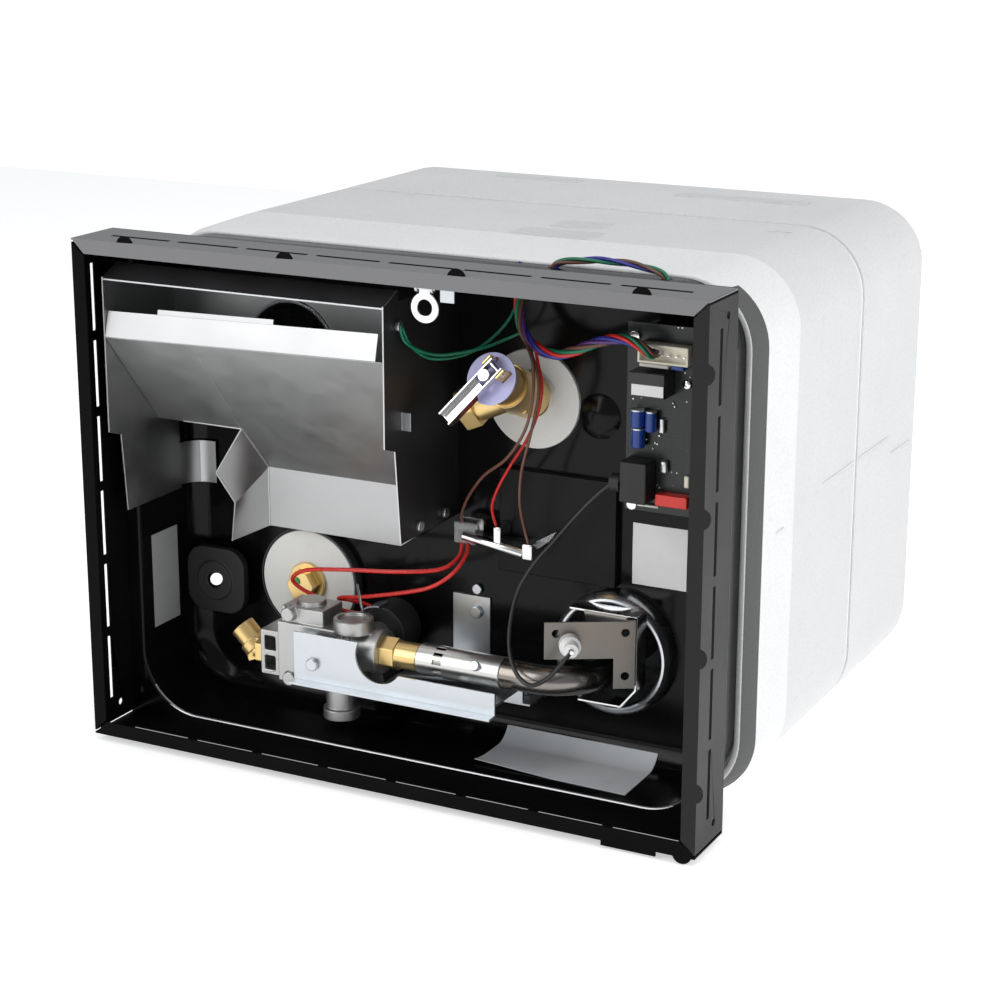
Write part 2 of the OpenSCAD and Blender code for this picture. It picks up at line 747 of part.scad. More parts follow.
module solenoid_coils() {
    color("dimgray") place() for (c = coil_list) difference() {
        union() {
            round_y(c[0], c[1], coil_y0, coil_y1, coil_r);
            round_y(c[0], c[1], coil_y1 - 1, panel_y, 6);
        }
        round_y(c[0], c[1], coil_y0 - 1, coil_y1 - 3, 4 + run_fit);
    }
}

module solenoid_plungers() {
    color("silver") place() for (c = coil_list) round_y(c[0], c[1], coil_y0 - 2, coil_y0 + 10, 4);
}

module solenoid_springs() {
    color("silver") place() for (c = coil_list)
        translate([c[0], coil_y0 + 10.8, c[1]]) lead(coil_path(2.6, 6.6, 4), 0.6, 6);
}

module gas_orifice() {
    color("goldenrod") place() difference() {
        union() {
            hex_x(boss_end, boss_end + 10, burner_y, burner_z, 10.5);
            round_x(boss_end + 9, tube_start, burner_y, burner_z, burner_r - 0.4);
            round_x(tube_start - 1, tube_start + 7, burner_y, burner_z, burner_r - burner_wall - run_fit);
        }
        round_x(boss_end - 1, tube_start + 4, burner_y, burner_z, 2.5);
        round_x(tube_start + 3, tube_start + 8, burner_y, burner_z, 0.8);
    }
}

module burner_tube() {
    color("gray") place() {
        difference() {
            union() {
                round_x(tube_start, bend_x, burner_y, burner_z, burner_r);
                translate([flue_x, burner_y + bend_r, burner_z]) rotate([-90, 0, 0])
                    cylinder(h = 90, r = burner_r);
            }
            round_x(tube_start - 1, bend_x + 1, burner_y, burner_z, burner_r - burner_wall);
            translate([flue_x, burner_y + bend_r - 1, burner_z]) rotate([-90, 0, 0])
                cylinder(h = 92, r = burner_r - burner_wall);
            for (a = [20, 140, 260]) translate([tube_start + 9, burner_y, burner_z]) rotate([a, 0, 0])
                block([0, -4, 0], [14, 4, 20]);
        }
        translate([bend_x, burner_y + bend_r, burner_z]) rotate([0, 0, -90]) rotate_extrude(angle = 90)
            translate([bend_r, 0]) difference() {
                circle(burner_r);
                circle(burner_r - burner_wall);
            }
    }
}

module air_shutter() {
    start = tube_start + 1;
    slots = 12;
    color("silver") place() difference() {
        round_x(start, start + 56, burner_y, burner_z, shutter_r);
        round_x(start - 1, start + 57, burner_y, burner_z, burner_r + run_fit);
        for (i = [0 : slots - 1]) translate([start + 11.5, burner_y, burner_z])
            rotate([(i + 0.5) * 360 / slots, 0, 0]) block([0, -1.3, 0], [6, 1.3, 20]);
    }
}

module shutter_screw() {
    color("silver") place() translate([tube_start + 42, burner_y, burner_z]) rotate([62, 0, 0])
        translate([0, 0, shutter_r + run_fit]) cylinder(h = 3, r = 3);
}

// Turns the electrode plate to the left, as it stands before the flue
module plate_pose() {
    translate([flue_x + 1, plate_y, plate_z]) rotate([0, 0, 30]) children();
}

module electrode_plate() {
    color("silver") place() plate_pose() difference() {
        union() {
            block([-27, 0, -11], [27, bracket_t, plate_up]);
            block([14, 0, -30], [27, bracket_t, 0]);
            block([-2, 0, plate_up - 1.2], [22, 24, plate_up]);
        }
        round_y(-20, 5, -1, 4, 2.4);
        round_y(21, 5, -1, 4, 2.4);
        round_y(21, -22, -1, 4, 2.4);
        round_y(electrode_x, -1, -1, 4, 4.6);
    }
}

module burner_frame() {
    t = 1.2;
    top = plate_z + plate_up - flue_z + t;
    color("silver") place() translate([flue_x, 0, flue_z]) slab(frame_y, flue_rim_y - frame_y)
        polygon([[-20, top], [24, top], [24, -14], [14, -26], [-14, -26], [-14, -26 + t],
            [14 - t / 2, -26 + t], [24 - t, -14 + t / 2], [24 - t, top - t], [-20, top - t]]);
}

module electrode_insulator() {
    color("white") place() plate_pose() difference() {
        union() {
            round_y(electrode_x, -1, -14, 10, 4.4);
            round_y(electrode_x, -1, -7, -run_fit, 6.5);
        }
        round_y(electrode_x, -1, -15, 11, 1.3);
    }
}

module spark_electrode() {
    color("silver") place() plate_pose() lead([[electrode_x, -17, -1], [electrode_x, 12, -1],
        [electrode_x + 5, 24, -3], [electrode_x + 10.4, 33, -5], [electrode_x + 22, 47, -11],
        [electrode_x + 31.6, 58, -14]], 1.2);
}

module support_strap() {
    wide = 13;
    color("silver") place() difference() {
        union() {
            block([strap_x - wide, panel_y - bracket_t, foot_z - bracket_t], [strap_x + wide, panel_y, -62]);
            block([strap_x - wide, panel_y - 30, foot_z - bracket_t], [strap_x + 55, panel_y, foot_z]);
            block([strap_x - wide, panel_y - 30, foot_z - bracket_t],
                [strap_x + 50, panel_y - 30 + bracket_t, shelf_z]);
        }
        round_y(strap_x + 4, -72, panel_y - 4, panel_y + 1, 2.2);
    }
}

// Side of the flue box, seen along X: its lower part stands back from the front edge
module box_side(x, back, step, low, foot) {
    translate([x, 0, 0]) rotate([90, 0, 90]) linear_extrude(flue_sheet)
        polygon([[flue_box_y, flue_box_top], [back, flue_box_top], [back, low],
            [flue_box_y + foot, low], [flue_box_y + 12, step - 4], [flue_box_y, step]]);
}

// Return of the box's left wall, which follows the pan's round on to the back
module wall_return(low, high, tail) {
    out = recess_fillet - flue_box_gap;
    translate([-recess_w / 2 + recess_fillet, panel_y - recess_fillet, low]) linear_extrude(high - low) {
        intersection() {
            difference() {
                circle(out);
                circle(out - flue_sheet);
            }
            translate([-out, 0]) square(out);
        }
        translate([0, out - flue_sheet]) square([tail, flue_sheet]);
    }
}

// The pan's round top left corner, which the flue box stays clear of
module corner_room() {
    corner_x = -recess_w / 2 + recess_r;
    corner_z = recess_h / 2 - recess_r;
    slab(frame_d - 1, recess_d) difference() {
        translate([corner_x - 2 * recess_r, corner_z]) square(2 * recess_r);
        translate([corner_x, corner_z]) circle(recess_r - 0.6);
        translate([corner_x, corner_z - recess_r]) square(3 * recess_r);
    }
}

module flue_box() {
    plate_low = 40;
    flange_y = flue_box_y + 16;
    plate_end = box_back + flue_sheet;
    color("silver") place() difference() {
        union() {
            box_side(box_l, plate_end, 38, -16, 16);
            wall_return(-14, 14, 4.5);
            box_side(box_r - flue_sheet, panel_y, 51, -11, 18);
            block([box_l, flange_y, flue_box_top - flue_sheet], [box_r, plate_end, flue_box_top]);
            translate([box_l, 0, 0]) rotate([90, 0, 90]) linear_extrude(flue_box_w)
                polygon([[flue_box_y, flue_box_top - 1], [flue_box_y, flue_box_top - 2],
                    [flange_y + 1, flue_box_top - 2], [flange_y + 1, flue_box_top + 6.5],
                    [flange_y, flue_box_top + 6.5]]);
            slab(box_back, flue_sheet) difference() {
                translate([box_l, plate_low]) square([flue_box_w, flue_box_top - plate_low]);
                translate([-exhaust_x, exhaust_z]) circle(exhaust_r + fit);
            }
            block([box_r - flue_sheet, flue_box_y + 20, 58], [box_r + 6, flue_box_y + 20 + flue_sheet, 69]);
        }
        corner_room();
    }
}

// A thin plate through four corner points, thickened along Y
module sheet_quad(a, b, c, d) {
    t = [0, flue_sheet, 0];
    polyhedron([a, b, c, d, a + t, b + t, c + t, d + t],
        [[0, 1, 2], [0, 2, 3], [4, 6, 5], [4, 7, 6], [0, 4, 5], [0, 5, 1], [1, 5, 6], [1, 6, 2],
            [2, 6, 7], [2, 7, 3], [3, 7, 4], [3, 4, 0]]);
}

module flue_deflector() {
    l = box_l + flue_sheet + 0.2;
    r = box_r - flue_sheet - 0.2;
    y = flue_box_y;
    notch = -129;
    strip_r = box_r - 5.5;
    strip_low = 98;
    strip_rise = 4.5;
    at_notch = strip_low + strip_rise * (notch - l) / (strip_r - l);
    color("white") place() {
        slab(y, flue_sheet) polygon([[l, strip_low], [strip_r, strip_low + strip_rise],
            [strip_r, strip_low + strip_rise + 15.5], [-73, strip_low + 18.3], [-73, strip_low + 21.3],
            [-155, strip_low + 19.4], [-155, strip_low + 16.4], [l, strip_low + 15.5]]);
        sheet_quad([l, y, strip_low], [notch, y, at_notch], [notch, y + 52, 36], [l, y + 52, 36]);
        sheet_quad([notch - 0.1, y, at_notch], [r, y, strip_low + strip_rise], [r, y + 77, 6],
            [notch - 0.1, y + 77, 6]);
        slab(y + 77, flue_sheet) polygon([[notch + 2, -33], [-30, -33], [r, -10], [r, 7], [notch + 2, 7]]);
        sheet_quad([notch, y + 53, 36], [notch + 3, y + 77, 6], [-142, y + 62, -16], [-149, y + 52, 5]);
        sheet_quad([notch + 3, y + 77, 6], [notch + 3, y + 77, -33], [-149, y + 68, -44],
            [-142, y + 62, -16]);
    }
}

module control_board() {
    color("darkgreen") place()
        block([board_x, board_y, board_z], [board_x + board_w, board_y + 1.6, board_z + board_h]);
}

module board_connector() {
    color("white") place()
        block([board_x + 10, board_y - 9, board_z + 90], [board_x + 41, board_y, board_z + 101]);
}

module board_relay() {
    color("black") place()
        block([board_x + 7, board_y - 15, board_z + 71], [board_x + 29.5, board_y, board_z + 85.5]);
}

// An upright can on the board, given by its place on the board, length and radius
module can(x, z, h, r) {
    translate([board_x + x, board_y - r - 0.4, board_z + z]) cylinder(h = h, r = r);
    block([board_x + x - 2, board_y - r, board_z + z], [board_x + x + 2, board_y, board_z + z + 3]);
}

module board_capacitors() {
    color("royalblue") place() {
        can(9, 51, 10, 4.2);
        can(17, 49, 11.5, 3.4);
        can(9.5, 39, 11, 4);
    }
}

module ignition_coil() {
    color("black") place() {
        block([board_x + 2, board_y - 14, board_z + 7.5], [board_x + 19, board_y, board_z + 32]);
        round_x(board_x - 5.5, board_x + 3, board_y - 8, board_z + 17.5, 5.5);
    }
}

module board_fuse() {
    color("red") place()
        block([board_x + 22, board_y - 8, board_z + 6.5], [board_x + 42, board_y, board_z + 13.5]);
}

module board_posts() {
    color("silver") place() for (x = [5, board_w - 10], z = [3.5, board_h - 8]) {
        round_y(board_x + x, board_z + z, board_y + 1.6, panel_y, 3);
        round_y(board_x + x, board_z + z, board_y - 2.4, board_y, 3.2);
    }
}

module thermostat_cover() {
    color("black") place()
        block([cover_l, panel_y - 5, flue_z + flue_r + 6], [cover_r, panel_y, 24]);
}

module thermostats() {
    color("dimgray") place() for (x = thermostat_xs) {
        round_y(x, thermostat_z, panel_y + 0.2, tank_y, thermostat_r);
    }
}

module thermal_fuse() {
    back = panel_y - 5;
    color("lightgray") place() {
        translate([16, back - 13, -18]) rotate([0, 98, 0]) cylinder(h = 42, r = 3);
        block([9, back - 12.5, -24], [24, back, -10]);
        block([37, back - 14.5, -22], [43, back, -8]);
        block([57, back - 15.5, -27], [64, back, -17]);
        block([9, back - 2, -22], [66, back, -18]);
        slab(back - 8, 2) polygon([[60, -25], [64, -25], [76, -15], [76, -8], [70, -8], [60, -18]]);
    }
}

module gas_grommet() {
    color("black") place() difference() {
        union() {
            slab(panel_y - 14, 6) translate([grommet_x, grommet_z]) round_rect(44, 44, 13);
            round_y(grommet_x, grommet_z, panel_y - 16, panel_y - 9, 13);
            round_y(grommet_x, grommet_z, panel_y - 9, panel_y, grommet_bore + 3.7);
            round_y(grommet_x, grommet_z, panel_y - 1, panel_y + 5, grommet_bore + 3.7);
        }
        round_y(grommet_x, grommet_z, panel_y - 17, panel_y + 9, grommet_bore);
    }
}

module latch_bracket() {
    color("silver") place() {
        block([latch_x - 7, latch_y - 4, frame_h / 2 - sheet - 1.2],
            [latch_x + 20, latch_y + 8, frame_h / 2 - sheet]);
        difference() {
            union() for (x = [latch_x - 5, latch_x + 5]) {
                block([x - 0.8, latch_y - 2.5, latch_z], [x + 0.8, latch_y + 2.5, frame_h / 2 - sheet - 1]);
                round_x(x - 0.8, x + 0.8, latch_y, latch_z, 2.5);
            }
            round_x(latch_x - 20, latch_x + 20, latch_y, latch_z, 1.3 + run_fit);
        }
        block([latch_x + 10, latch_y - 1, latch_z - 7],
            [latch_x + 19, latch_y + 0.2, frame_h / 2 - sheet - 1]);
    }
}

module latch_ring() {
    color("white") place() {
        round_x(latch_x - 6.6, latch_x + 6.6, latch_y, latch_z, 1.3);
        block([latch_x - 3.6, latch_y - 1, latch_z - 5], [latch_x + 3.6, latch_y + 1, latch_z + 0.5]);
        difference() {
            round_y(latch_x, latch_z - 11, latch_y - 1, latch_y + 1, 9);
            round_y(latch_x, latch_z - 11, latch_y - 2, latch_y + 2, 4.6);
        }
    }
}

module panel_screws() {
    color("silver") place() {
        round_y(strap_x + 4, -72, panel_y - bracket_t - 3, panel_y - bracket_t, 4);
        round_y(strap_x + 4, -57.5, panel_y - 2.5, panel_y, 3.4);
        round_y(-60, burner_z - 7, bracket_y - 3, bracket_y, 4);
        translate([strap_x + 44, panel_y - 14, foot_z]) cylinder(h = 3, r = 3.6);
        for (y = [49, 81]) round_x(box_r, box_r + 2.5, y, -5, 3.4);
        round_x(box_r, box_r + 3, 25, 121, 3);
    }
}

module labels() {
    color("lightgray") place() {
        block([-recess_w / 2, 52, -102], [-recess_w / 2 + 0.4, 80, -40]);
        block([board_x - 4, panel_y - 0.4, -38], [board_x + 31, panel_y, 0]);
        translate([90, 66.5, -recess_h / 2 + 0.25]) cube([102, 33, 0.5], center = true);
    }
}

module harness() {
    color("purple") place() lead(smooth(trunk_route, 3), 2.6);
}

module ground_leads() {
    color("green") place() {
        lead(smooth(ground_route, 3), 0.9);
        lead(smooth(earth_route, 3), 0.9);
    }
}

module sensor_leads() {
    color("sienna") place() {
        lead(smooth(sensor_route_a, 3), 0.9);
        lead(smooth(sensor_route_b, 3), 0.9);
        lead(smooth(sensor_route_c, 3), 0.9);
    }
}

module valve_leads() {
    color("red") place() {
        lead(smooth(valve_route_a, 3), 1.2);
        lead(smooth(valve_route_b, 3), 1.2);
    }
}

module ignition_lead() {
    color("black") place() lead(smooth(ignition_route, 3), 1.4);
}

module top_leads() {
    color("green") place() translate([0, 0, top_rise]) lead(smooth(top_route, 3), 1.8);
}

front_pan();
frame_top();
frame_bottom();
frame_left();
frame_right();
jacket_front();
jacket_rear();
seam_tape();
water_tank();
burner_flue();
exhaust_flue();
flue_collector();
water_couplings();
dip_tube();
relief_body();
relief_stem();
relief_spring();
relief_tag();
relief_lever();
lever_pin();
port_seals();
drain_plug();
gas_valve_body();
valve_bracket();
inlet_elbow();
solenoid_coils();
solenoid_plungers();
solenoid_springs();
gas_orifice();
burner_tube();
air_shutter();
shutter_screw();
electrode_plate();
burner_frame();
electrode_insulator();
spark_electrode();
support_strap();
flue_box();
flue_deflector();
control_board();
board_connector();
board_relay();
board_capacitors();
ignition_coil();
board_fuse();
board_posts();
thermostat_cover();
thermostats();
thermal_fuse();
gas_grommet();
latch_bracket();
latch_ring();
panel_screws();
labels();
harness();
ground_leads();
sensor_leads();
valve_leads();
ignition_lead();
top_leads();
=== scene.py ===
"""Looks of a caravan gas water heater: finishes, foam, leads and fittings around its CAD frame."""

import json
import logging
import math
from dataclasses import dataclass
from enum import Enum
from typing import Callable, Sequence

import bmesh
import bpy
from mathutils import Matrix, Vector

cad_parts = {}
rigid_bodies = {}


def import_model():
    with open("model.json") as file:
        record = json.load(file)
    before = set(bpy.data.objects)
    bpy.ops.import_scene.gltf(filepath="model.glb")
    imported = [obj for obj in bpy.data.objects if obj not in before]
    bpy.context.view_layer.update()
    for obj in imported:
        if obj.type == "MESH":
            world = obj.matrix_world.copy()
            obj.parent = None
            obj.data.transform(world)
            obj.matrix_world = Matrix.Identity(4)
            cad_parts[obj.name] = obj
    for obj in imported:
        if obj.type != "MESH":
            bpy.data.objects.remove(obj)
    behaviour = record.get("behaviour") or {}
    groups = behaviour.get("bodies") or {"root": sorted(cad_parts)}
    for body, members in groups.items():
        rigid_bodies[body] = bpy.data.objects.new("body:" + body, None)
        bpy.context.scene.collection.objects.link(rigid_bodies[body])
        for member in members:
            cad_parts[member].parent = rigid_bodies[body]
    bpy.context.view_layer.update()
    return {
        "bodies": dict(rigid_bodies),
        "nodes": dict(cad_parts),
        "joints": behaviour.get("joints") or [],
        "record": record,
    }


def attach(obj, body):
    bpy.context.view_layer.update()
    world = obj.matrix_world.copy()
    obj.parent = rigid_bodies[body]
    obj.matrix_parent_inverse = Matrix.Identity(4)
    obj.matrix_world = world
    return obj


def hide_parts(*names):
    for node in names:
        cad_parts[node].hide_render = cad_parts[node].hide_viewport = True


LOG = logging.getLogger("water_heater")
MM = 0.001
HALF_DEPTH = 213.0
BASE_DROP = 163.0
SAME = 1e-5

Point = tuple[float, float, float]
Colour = tuple[float, float, float]
Piece = bpy.types.Object
Socket = bpy.types.NodeSocket
Test = Callable[[Vector, Vector], bool]


def at(x: float, y: float, z: float) -> Vector:
    """Turns a place in millimetres, measured from the middle of the frame's front, into the row frame."""
    return Vector((x * MM, (y - HALF_DEPTH) * MM, (z + BASE_DROP) * MM))


def spot(place: Vector) -> Point:
    """Turns a place in the row frame back into those millimetres."""
    return (place.x / MM, place.y / MM + HALF_DEPTH, place.z / MM - BASE_DROP)


class Body(Enum):
    """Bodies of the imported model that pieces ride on."""

    HEATER = "heater"
    LEVER = "lever"
    STEM = "stem"
    RING = "ring"
    SHUTTER = "shutter"


class Value:
    """One number socket of a node tree, with arithmetic that adds Math nodes."""

    def __init__(self, shade: "Shade", socket: Socket) -> None:
        """Keeps the socket and the tree that it belongs to."""
        self.shade = shade
        self.socket = socket

    def math(self, operation: str, first: object, second: object) -> "Value":
        """Adds one Math node on two operands, each a Value or a number."""
        node = self.shade.node("ShaderNodeMath", {"operation": operation}, {0: first, 1: second})
        return Value(self.shade, node.outputs[0])

    def __add__(self, other: object) -> "Value":
        """Sum."""
        return self.math("ADD", self, other)

    def __sub__(self, other: object) -> "Value":
        """Difference."""
        return self.math("SUBTRACT", self, other)

    def __rsub__(self, other: object) -> "Value":
        """Difference with a number on the left."""
        return self.math("SUBTRACT", other, self)

    def __mul__(self, other: object) -> "Value":
        """Product."""
        return self.math("MULTIPLY", self, other)

    __radd__ = __add__
    __rmul__ = __mul__

    def step(self, low: float, high: float) -> "Value":
        """A smooth rise from 0 at low to 1 at high.

        Args:
            low: Where the rise starts.
            high: Where it ends.

        Returns:
            The risen value.
        """
        node = self.shade.node(
            "ShaderNodeMapRange",
            {"interpolation_type": "SMOOTHSTEP", "clamp": True},
            {0: self, 1: low, 2: high, 3: 0.0, 4: 1.0},
        )
        return Value(self.shade, node.outputs[0])


class Shade:
    """The node tree of one material."""

    def __init__(self, name: str) -> None:
        """Makes a material that holds one Principled shader.

        Args:
            name: Name of the material.
        """
        self.material = bpy.data.materials.new(name)
        self.material.use_nodes = True
        self.tree = self.material.node_tree
        self.tree.nodes.clear()
        self.output = self.node("ShaderNodeOutputMaterial")
        self.surface = self.node("ShaderNodeBsdfPrincipled")
        self.tree.links.new(self.surface.outputs[0], self.output.inputs[0])
        self.place = self.node("ShaderNodeTexCoord").outputs["Object"]

    def node(
        self,
        kind: str,
        settings: dict[str, object] | None = None,
        inputs: dict[object, object] | None = None,
    ) -> bpy.types.Node:
        """Adds one node.

        Args:
            kind: Blender's name of the node's type.
            settings: Attributes that are set first; "stops" holds a ramp's places and colours.
            inputs: Values or links of the node's sockets, by name or number.

        Returns:
            The node.
        """
        made = self.tree.nodes.new(kind)
        for key, value in (settings or {}).items():
            if key == "stops":
                ramp = made.color_ramp.elements
                while len(ramp) < len(value):
                    ramp.new(0.5)
                for stop, (place, colour) in zip(ramp, value):
                    stop.position = place
                    stop.color = (*colour, 1.0)
            else:
                setattr(made, key, value)
        for key, value in (inputs or {}).items():
            self.feed(made.inputs[key], value)
        return made

    def feed(self, socket: Socket, value: object) -> None:
        """Links a socket, or sets its number, colour or vector.

        Args:
            socket: The socket.
            value: A Value, a socket or what the socket holds.
        """
        if isinstance(value, (Value, Socket)):
            self.tree.links.new(getattr(value, "socket", value), socket)
        elif isinstance(value, tuple) and socket.type == "RGBA" and len(value) == 3:
            socket.default_value = (*value, 1.0)
        else:
            socket.default_value = value

    def set(self, **inputs: object) -> "Shade":
        """Feeds the shader's own sockets, written with _ for a space."""
        for key, value in inputs.items():
            self.feed(self.surface.inputs[key.replace("_", " ")], value)
        return self

    def mapped(self, scale: Point = (1.0, 1.0, 1.0), turn: Point = (0.0, 0.0, 0.0)) -> Socket:
        """Object coordinates, stretched and turned."""
        links = {"Vector": self.place, "Scale": scale, "Rotation": turn}
        return self.node("ShaderNodeMapping", None, links).outputs[0]

    def noise(self, size: float, detail: float = 3.0, vector: Socket | None = None) -> Value:
        """Noise whose features are about size millimetres across, from 0 to 1.

        Args:
            size: Size of a feature.
            detail: Layers of finer noise.
            vector: Place, if not the object's.

        Returns:
            The noise.
        """
        node = self.node(
            "ShaderNodeTexNoise",
            {"noise_dimensions": "3D"},
            {"Vector": vector or self.place, "Scale": 1 / (size * MM), "Detail": detail, "Roughness": 0.55},
        )
        return Value(self, node.outputs[0])

    def cells(self, size: float, feature: str = "F1") -> bpy.types.Node:
        """Cells of about size millimetres."""
        links = {"Vector": self.place, "Scale": 1 / (size * MM)}
        return self.node("ShaderNodeTexVoronoi", {"feature": feature}, links)

    def mix(self, factor: object, first: object, second: object) -> Socket:
        """Mixes two colours."""
        node = self.node("ShaderNodeMix", {"data_type": "RGBA"}, {0: factor, 6: first, 7: second})
        return node.outputs[2]

    def bump(self, height: Value, strength: float, depth: float) -> Socket:
        """Bump from a height, depth in millimetres."""
        links = {"Height": height, "Strength": strength, "Distance": depth * MM}
        return self.node("ShaderNodeBump", None, links).outputs[0]


@dataclass(frozen=True)
class Finish:
    """A named finish; each kind paints its own node tree once."""

    name: str
    tone: Colour
    roughness: float = 0.4

    def material(self) -> bpy.types.Material:
        """The finish's material, made on first use.

        Returns:
            The material.
        """
        found = bpy.data.materials.get(self.name)
        if found is None:
            shade = Shade(self.name)
            self.paint(shade)
            found = shade.material
        return found

    def shifted(self, by: float) -> Colour:
        """The tone made lighter or darker."""
        return tuple(min(1.0, c * by) for c in self.tone)

    def paint(self, shade: Shade) -> None:
        """Paints a plain moulded surface with a fine grain.

        Args:
            shade: The node tree to fill.
        """
        grain = shade.noise(0.6, 2.0)
        cloud = shade.noise(14.0)
        shade.set(
            Base_Color=shade.mix(cloud, self.shifted(0.88), self.shifted(1.1)),
            Roughness=self.roughness + (cloud - 0.5) * 0.14,
            Normal=shade.bump(grain, 0.25, 0.05),
        )


@dataclass(frozen=True)
class Paint(Finish):
    """Baked paint on steel: orange peel, a little dust and faint handling marks."""

    specular: float = 0.3
    dust: float = 0.05

    DUST = (0.32, 0.31, 0.29)

    def paint(self, shade: Shade) -> None:
        """Paints the coat.

        Args:
            shade: The node tree to fill.
        """
        peel = shade.noise(1.6, 2.0)
        cloud = shade.noise(55.0, 4.0)
        specks = shade.noise(2.4, 6.0).step(0.66, 0.76)
        dirt = specks * self.dust + cloud.step(0.5, 0.8) * (0.35 * self.dust)
        shade.set(
            Base_Color=shade.mix(dirt, self.tone, self.DUST),
            Roughness=self.roughness + (cloud - 0.5) * 0.2 + specks * 0.12,
            Normal=shade.bump(peel, 0.12, 0.08),
            Specular_IOR_Level=self.specular,
        )


@dataclass(frozen=True)
class Metal(Finish):
    """Bare or plated metal: cloudy tone, rolling streaks and fine scratches."""

    spangle: float = 0.0
    streak: float = 0.0
    grain: float = 0.0
    tint: float = 0.0

    HEAT = (0.34, 0.24, 0.15)

    def paint(self, shade: Shade) -> None:
        """Paints the metal.

        Args:
            shade: The node tree to fill.
        """
        cloud = shade.noise(22.0, 4.0)
        lines = shade.noise(1.0, 3.0, shade.mapped((0.05, 1.0, 1.0)))
        colour = shade.mix(cloud, self.shifted(0.9), self.shifted(1.06))
        rough = self.roughness + (cloud - 0.5) * 0.16 + (lines - 0.5) * self.streak
        if self.spangle:
            flakes = shade.node("ShaderNodeSeparateColor", None, {0: shade.cells(9.0).outputs["Color"]})
            flake = Value(shade, flakes.outputs[0])
            rough = rough + (flake - 0.5) * self.spangle
            colour = shade.mix(flake * (self.spangle * 2.0), colour, self.shifted(1.25))
        if self.tint:
            heat = shade.noise(40.0, 2.0).step(0.4, 0.75)
            colour = shade.mix(heat * self.tint, colour, self.HEAT)
        shade.set(Base_Color=colour, Roughness=rough, Metallic=1.0)
        if self.grain:
            shade.set(Normal=shade.bump(shade.noise(0.9, 3.0), self.grain, 0.16))
        elif self.streak:
            shade.set(Normal=shade.bump(lines, 0.1, 0.03))


@dataclass(frozen=True)
class Foam(Finish):
    """Moulded bead foam: beads pressed into each other, with a soft grey cloudiness."""

    bead: float = 3.6

    def paint(self, shade: Shade) -> None:
        """Paints the foam.

        Args:
            shade: The node tree to fill.
        """
        beads = Value(shade, shade.cells(self.bead).outputs["Distance"])
        rims = Value(shade, shade.cells(self.bead, "DISTANCE_TO_EDGE").outputs["Distance"])
        cloud = shade.noise(70.0, 5.0)
        speck = shade.noise(1.1, 2.0)
        joints = 1.0 - rims.step(0.0, 0.12)
        tone = shade.mix(cloud, self.shifted(0.93), self.shifted(1.04))
        tone = shade.mix(joints * 0.22, tone, self.shifted(0.7))
        tone = shade.mix((speck - 0.5).step(0.08, 0.3) * 0.12, tone, self.shifted(0.72))
        shade.set(
            Base_Color=tone,
            Roughness=self.roughness + (cloud - 0.5) * 0.15,
            Normal=shade.bump((1.0 - beads) * 0.7 + speck * 0.5, 0.35, 0.35),
            Specular_IOR_Level=0.35,
            Subsurface_Weight=0.5,
            Subsurface_Radius=(0.01, 0.01, 0.01),
            Subsurface_Scale=1.0,
        )


@dataclass(frozen=True)
class Fibre(Finish):
    """Soft sealing disc or paper: felted fibres and slight stains."""

    felt: float = 0.3
    stain: Colour = (0.5, 0.44, 0.34)
    soiled: float = 0.12

    def paint(self, shade: Shade) -> None:
        """Paints the fibres.

        Args:
            shade: The node tree to fill.
        """
        fibres = shade.noise(0.8, 5.0, shade.mapped((1.0, 0.35, 1.0), (0.3, 0.6, 0.2)))
        cloud = shade.noise(16.0, 4.0)
        shade.set(
            Base_Color=shade.mix(cloud.step(0.5, 0.8) * self.soiled, self.tone, self.stain),
            Roughness=self.roughness + (fibres - 0.5) * 0.2,
            Normal=shade.bump(fibres, self.felt, 0.12),
            Specular_IOR_Level=0.3,
        )


@dataclass(frozen=True)
class Insulation(Finish):
    """Plastic skin of a lead, with the record's slot: glossy with rubbed patches."""

    slot: str = "wire_black"

    def paint(self, shade: Shade) -> None:
        """Paints the skin.

        Args:
            shade: The node tree to fill.
        """
        rubbed = shade.noise(7.0, 3.0)
        shade.set(
            Base_Color=shade.mix(rubbed.step(0.35, 0.8) * 0.35, self.tone, self.shifted(0.72)),
            Roughness=self.roughness + (rubbed - 0.5) * 0.2,
            Normal=shade.bump(shade.noise(0.9, 2.0), 0.12, 0.04),
        )


@dataclass(frozen=True)
class SolderMask(Finish):
    """Printed board: dark mask over fine tracks, with bright pads."""

    PAD = (0.6, 0.6, 0.57)

    def paint(self, shade: Shade) -> None:
        """Paints tracks on one grid and scattered pads.

        Args:
            shade: The node tree to fill.
        """
        tracks = shade.node(
            "ShaderNodeTexBrick",
            {"offset": 0.35, "squash": 0.8},
            {"Vector": shade.mapped(turn=(math.pi / 2, 0.0, 0.0)), "Scale": 110.0, "Mortar Size": 0.045},
        )
        track = Value(shade, tracks.outputs["Fac"])
        pad = 1.0 - Value(shade, shade.cells(3.4).outputs["Distance"]).step(0.13, 0.17)
        few = shade.noise(9.0, 1.0).step(0.56, 0.6)
        bright = pad * few
        mask = shade.mix(track * 0.5, self.tone, self.shifted(2.6))
        shade.set(
            Base_Color=shade.mix(bright, mask, self.PAD),
            Metallic=bright,
            Roughness=self.roughness + (shade.noise(5.0) - 0.5) * 0.15,
            Normal=shade.bump(track * 0.5 + bright, 0.3, 0.06),
        )


@dataclass(frozen=True)
class Sleeve(Finish):
    """Clear plastic sleeve, thinly hazed."""

    def paint(self, shade: Shade) -> None:
        """Paints the clear skin.

        Args:
            shade: The node tree to fill.
        """
        haze = shade.noise(4.0, 3.0)
        shade.set(
            Base_Color=shade.mix(haze, self.shifted(0.9), self.tone),
            Roughness=self.roughness + (haze - 0.5) * 0.12,
            Transmission_Weight=0.75,
            IOR=1.46,
        )


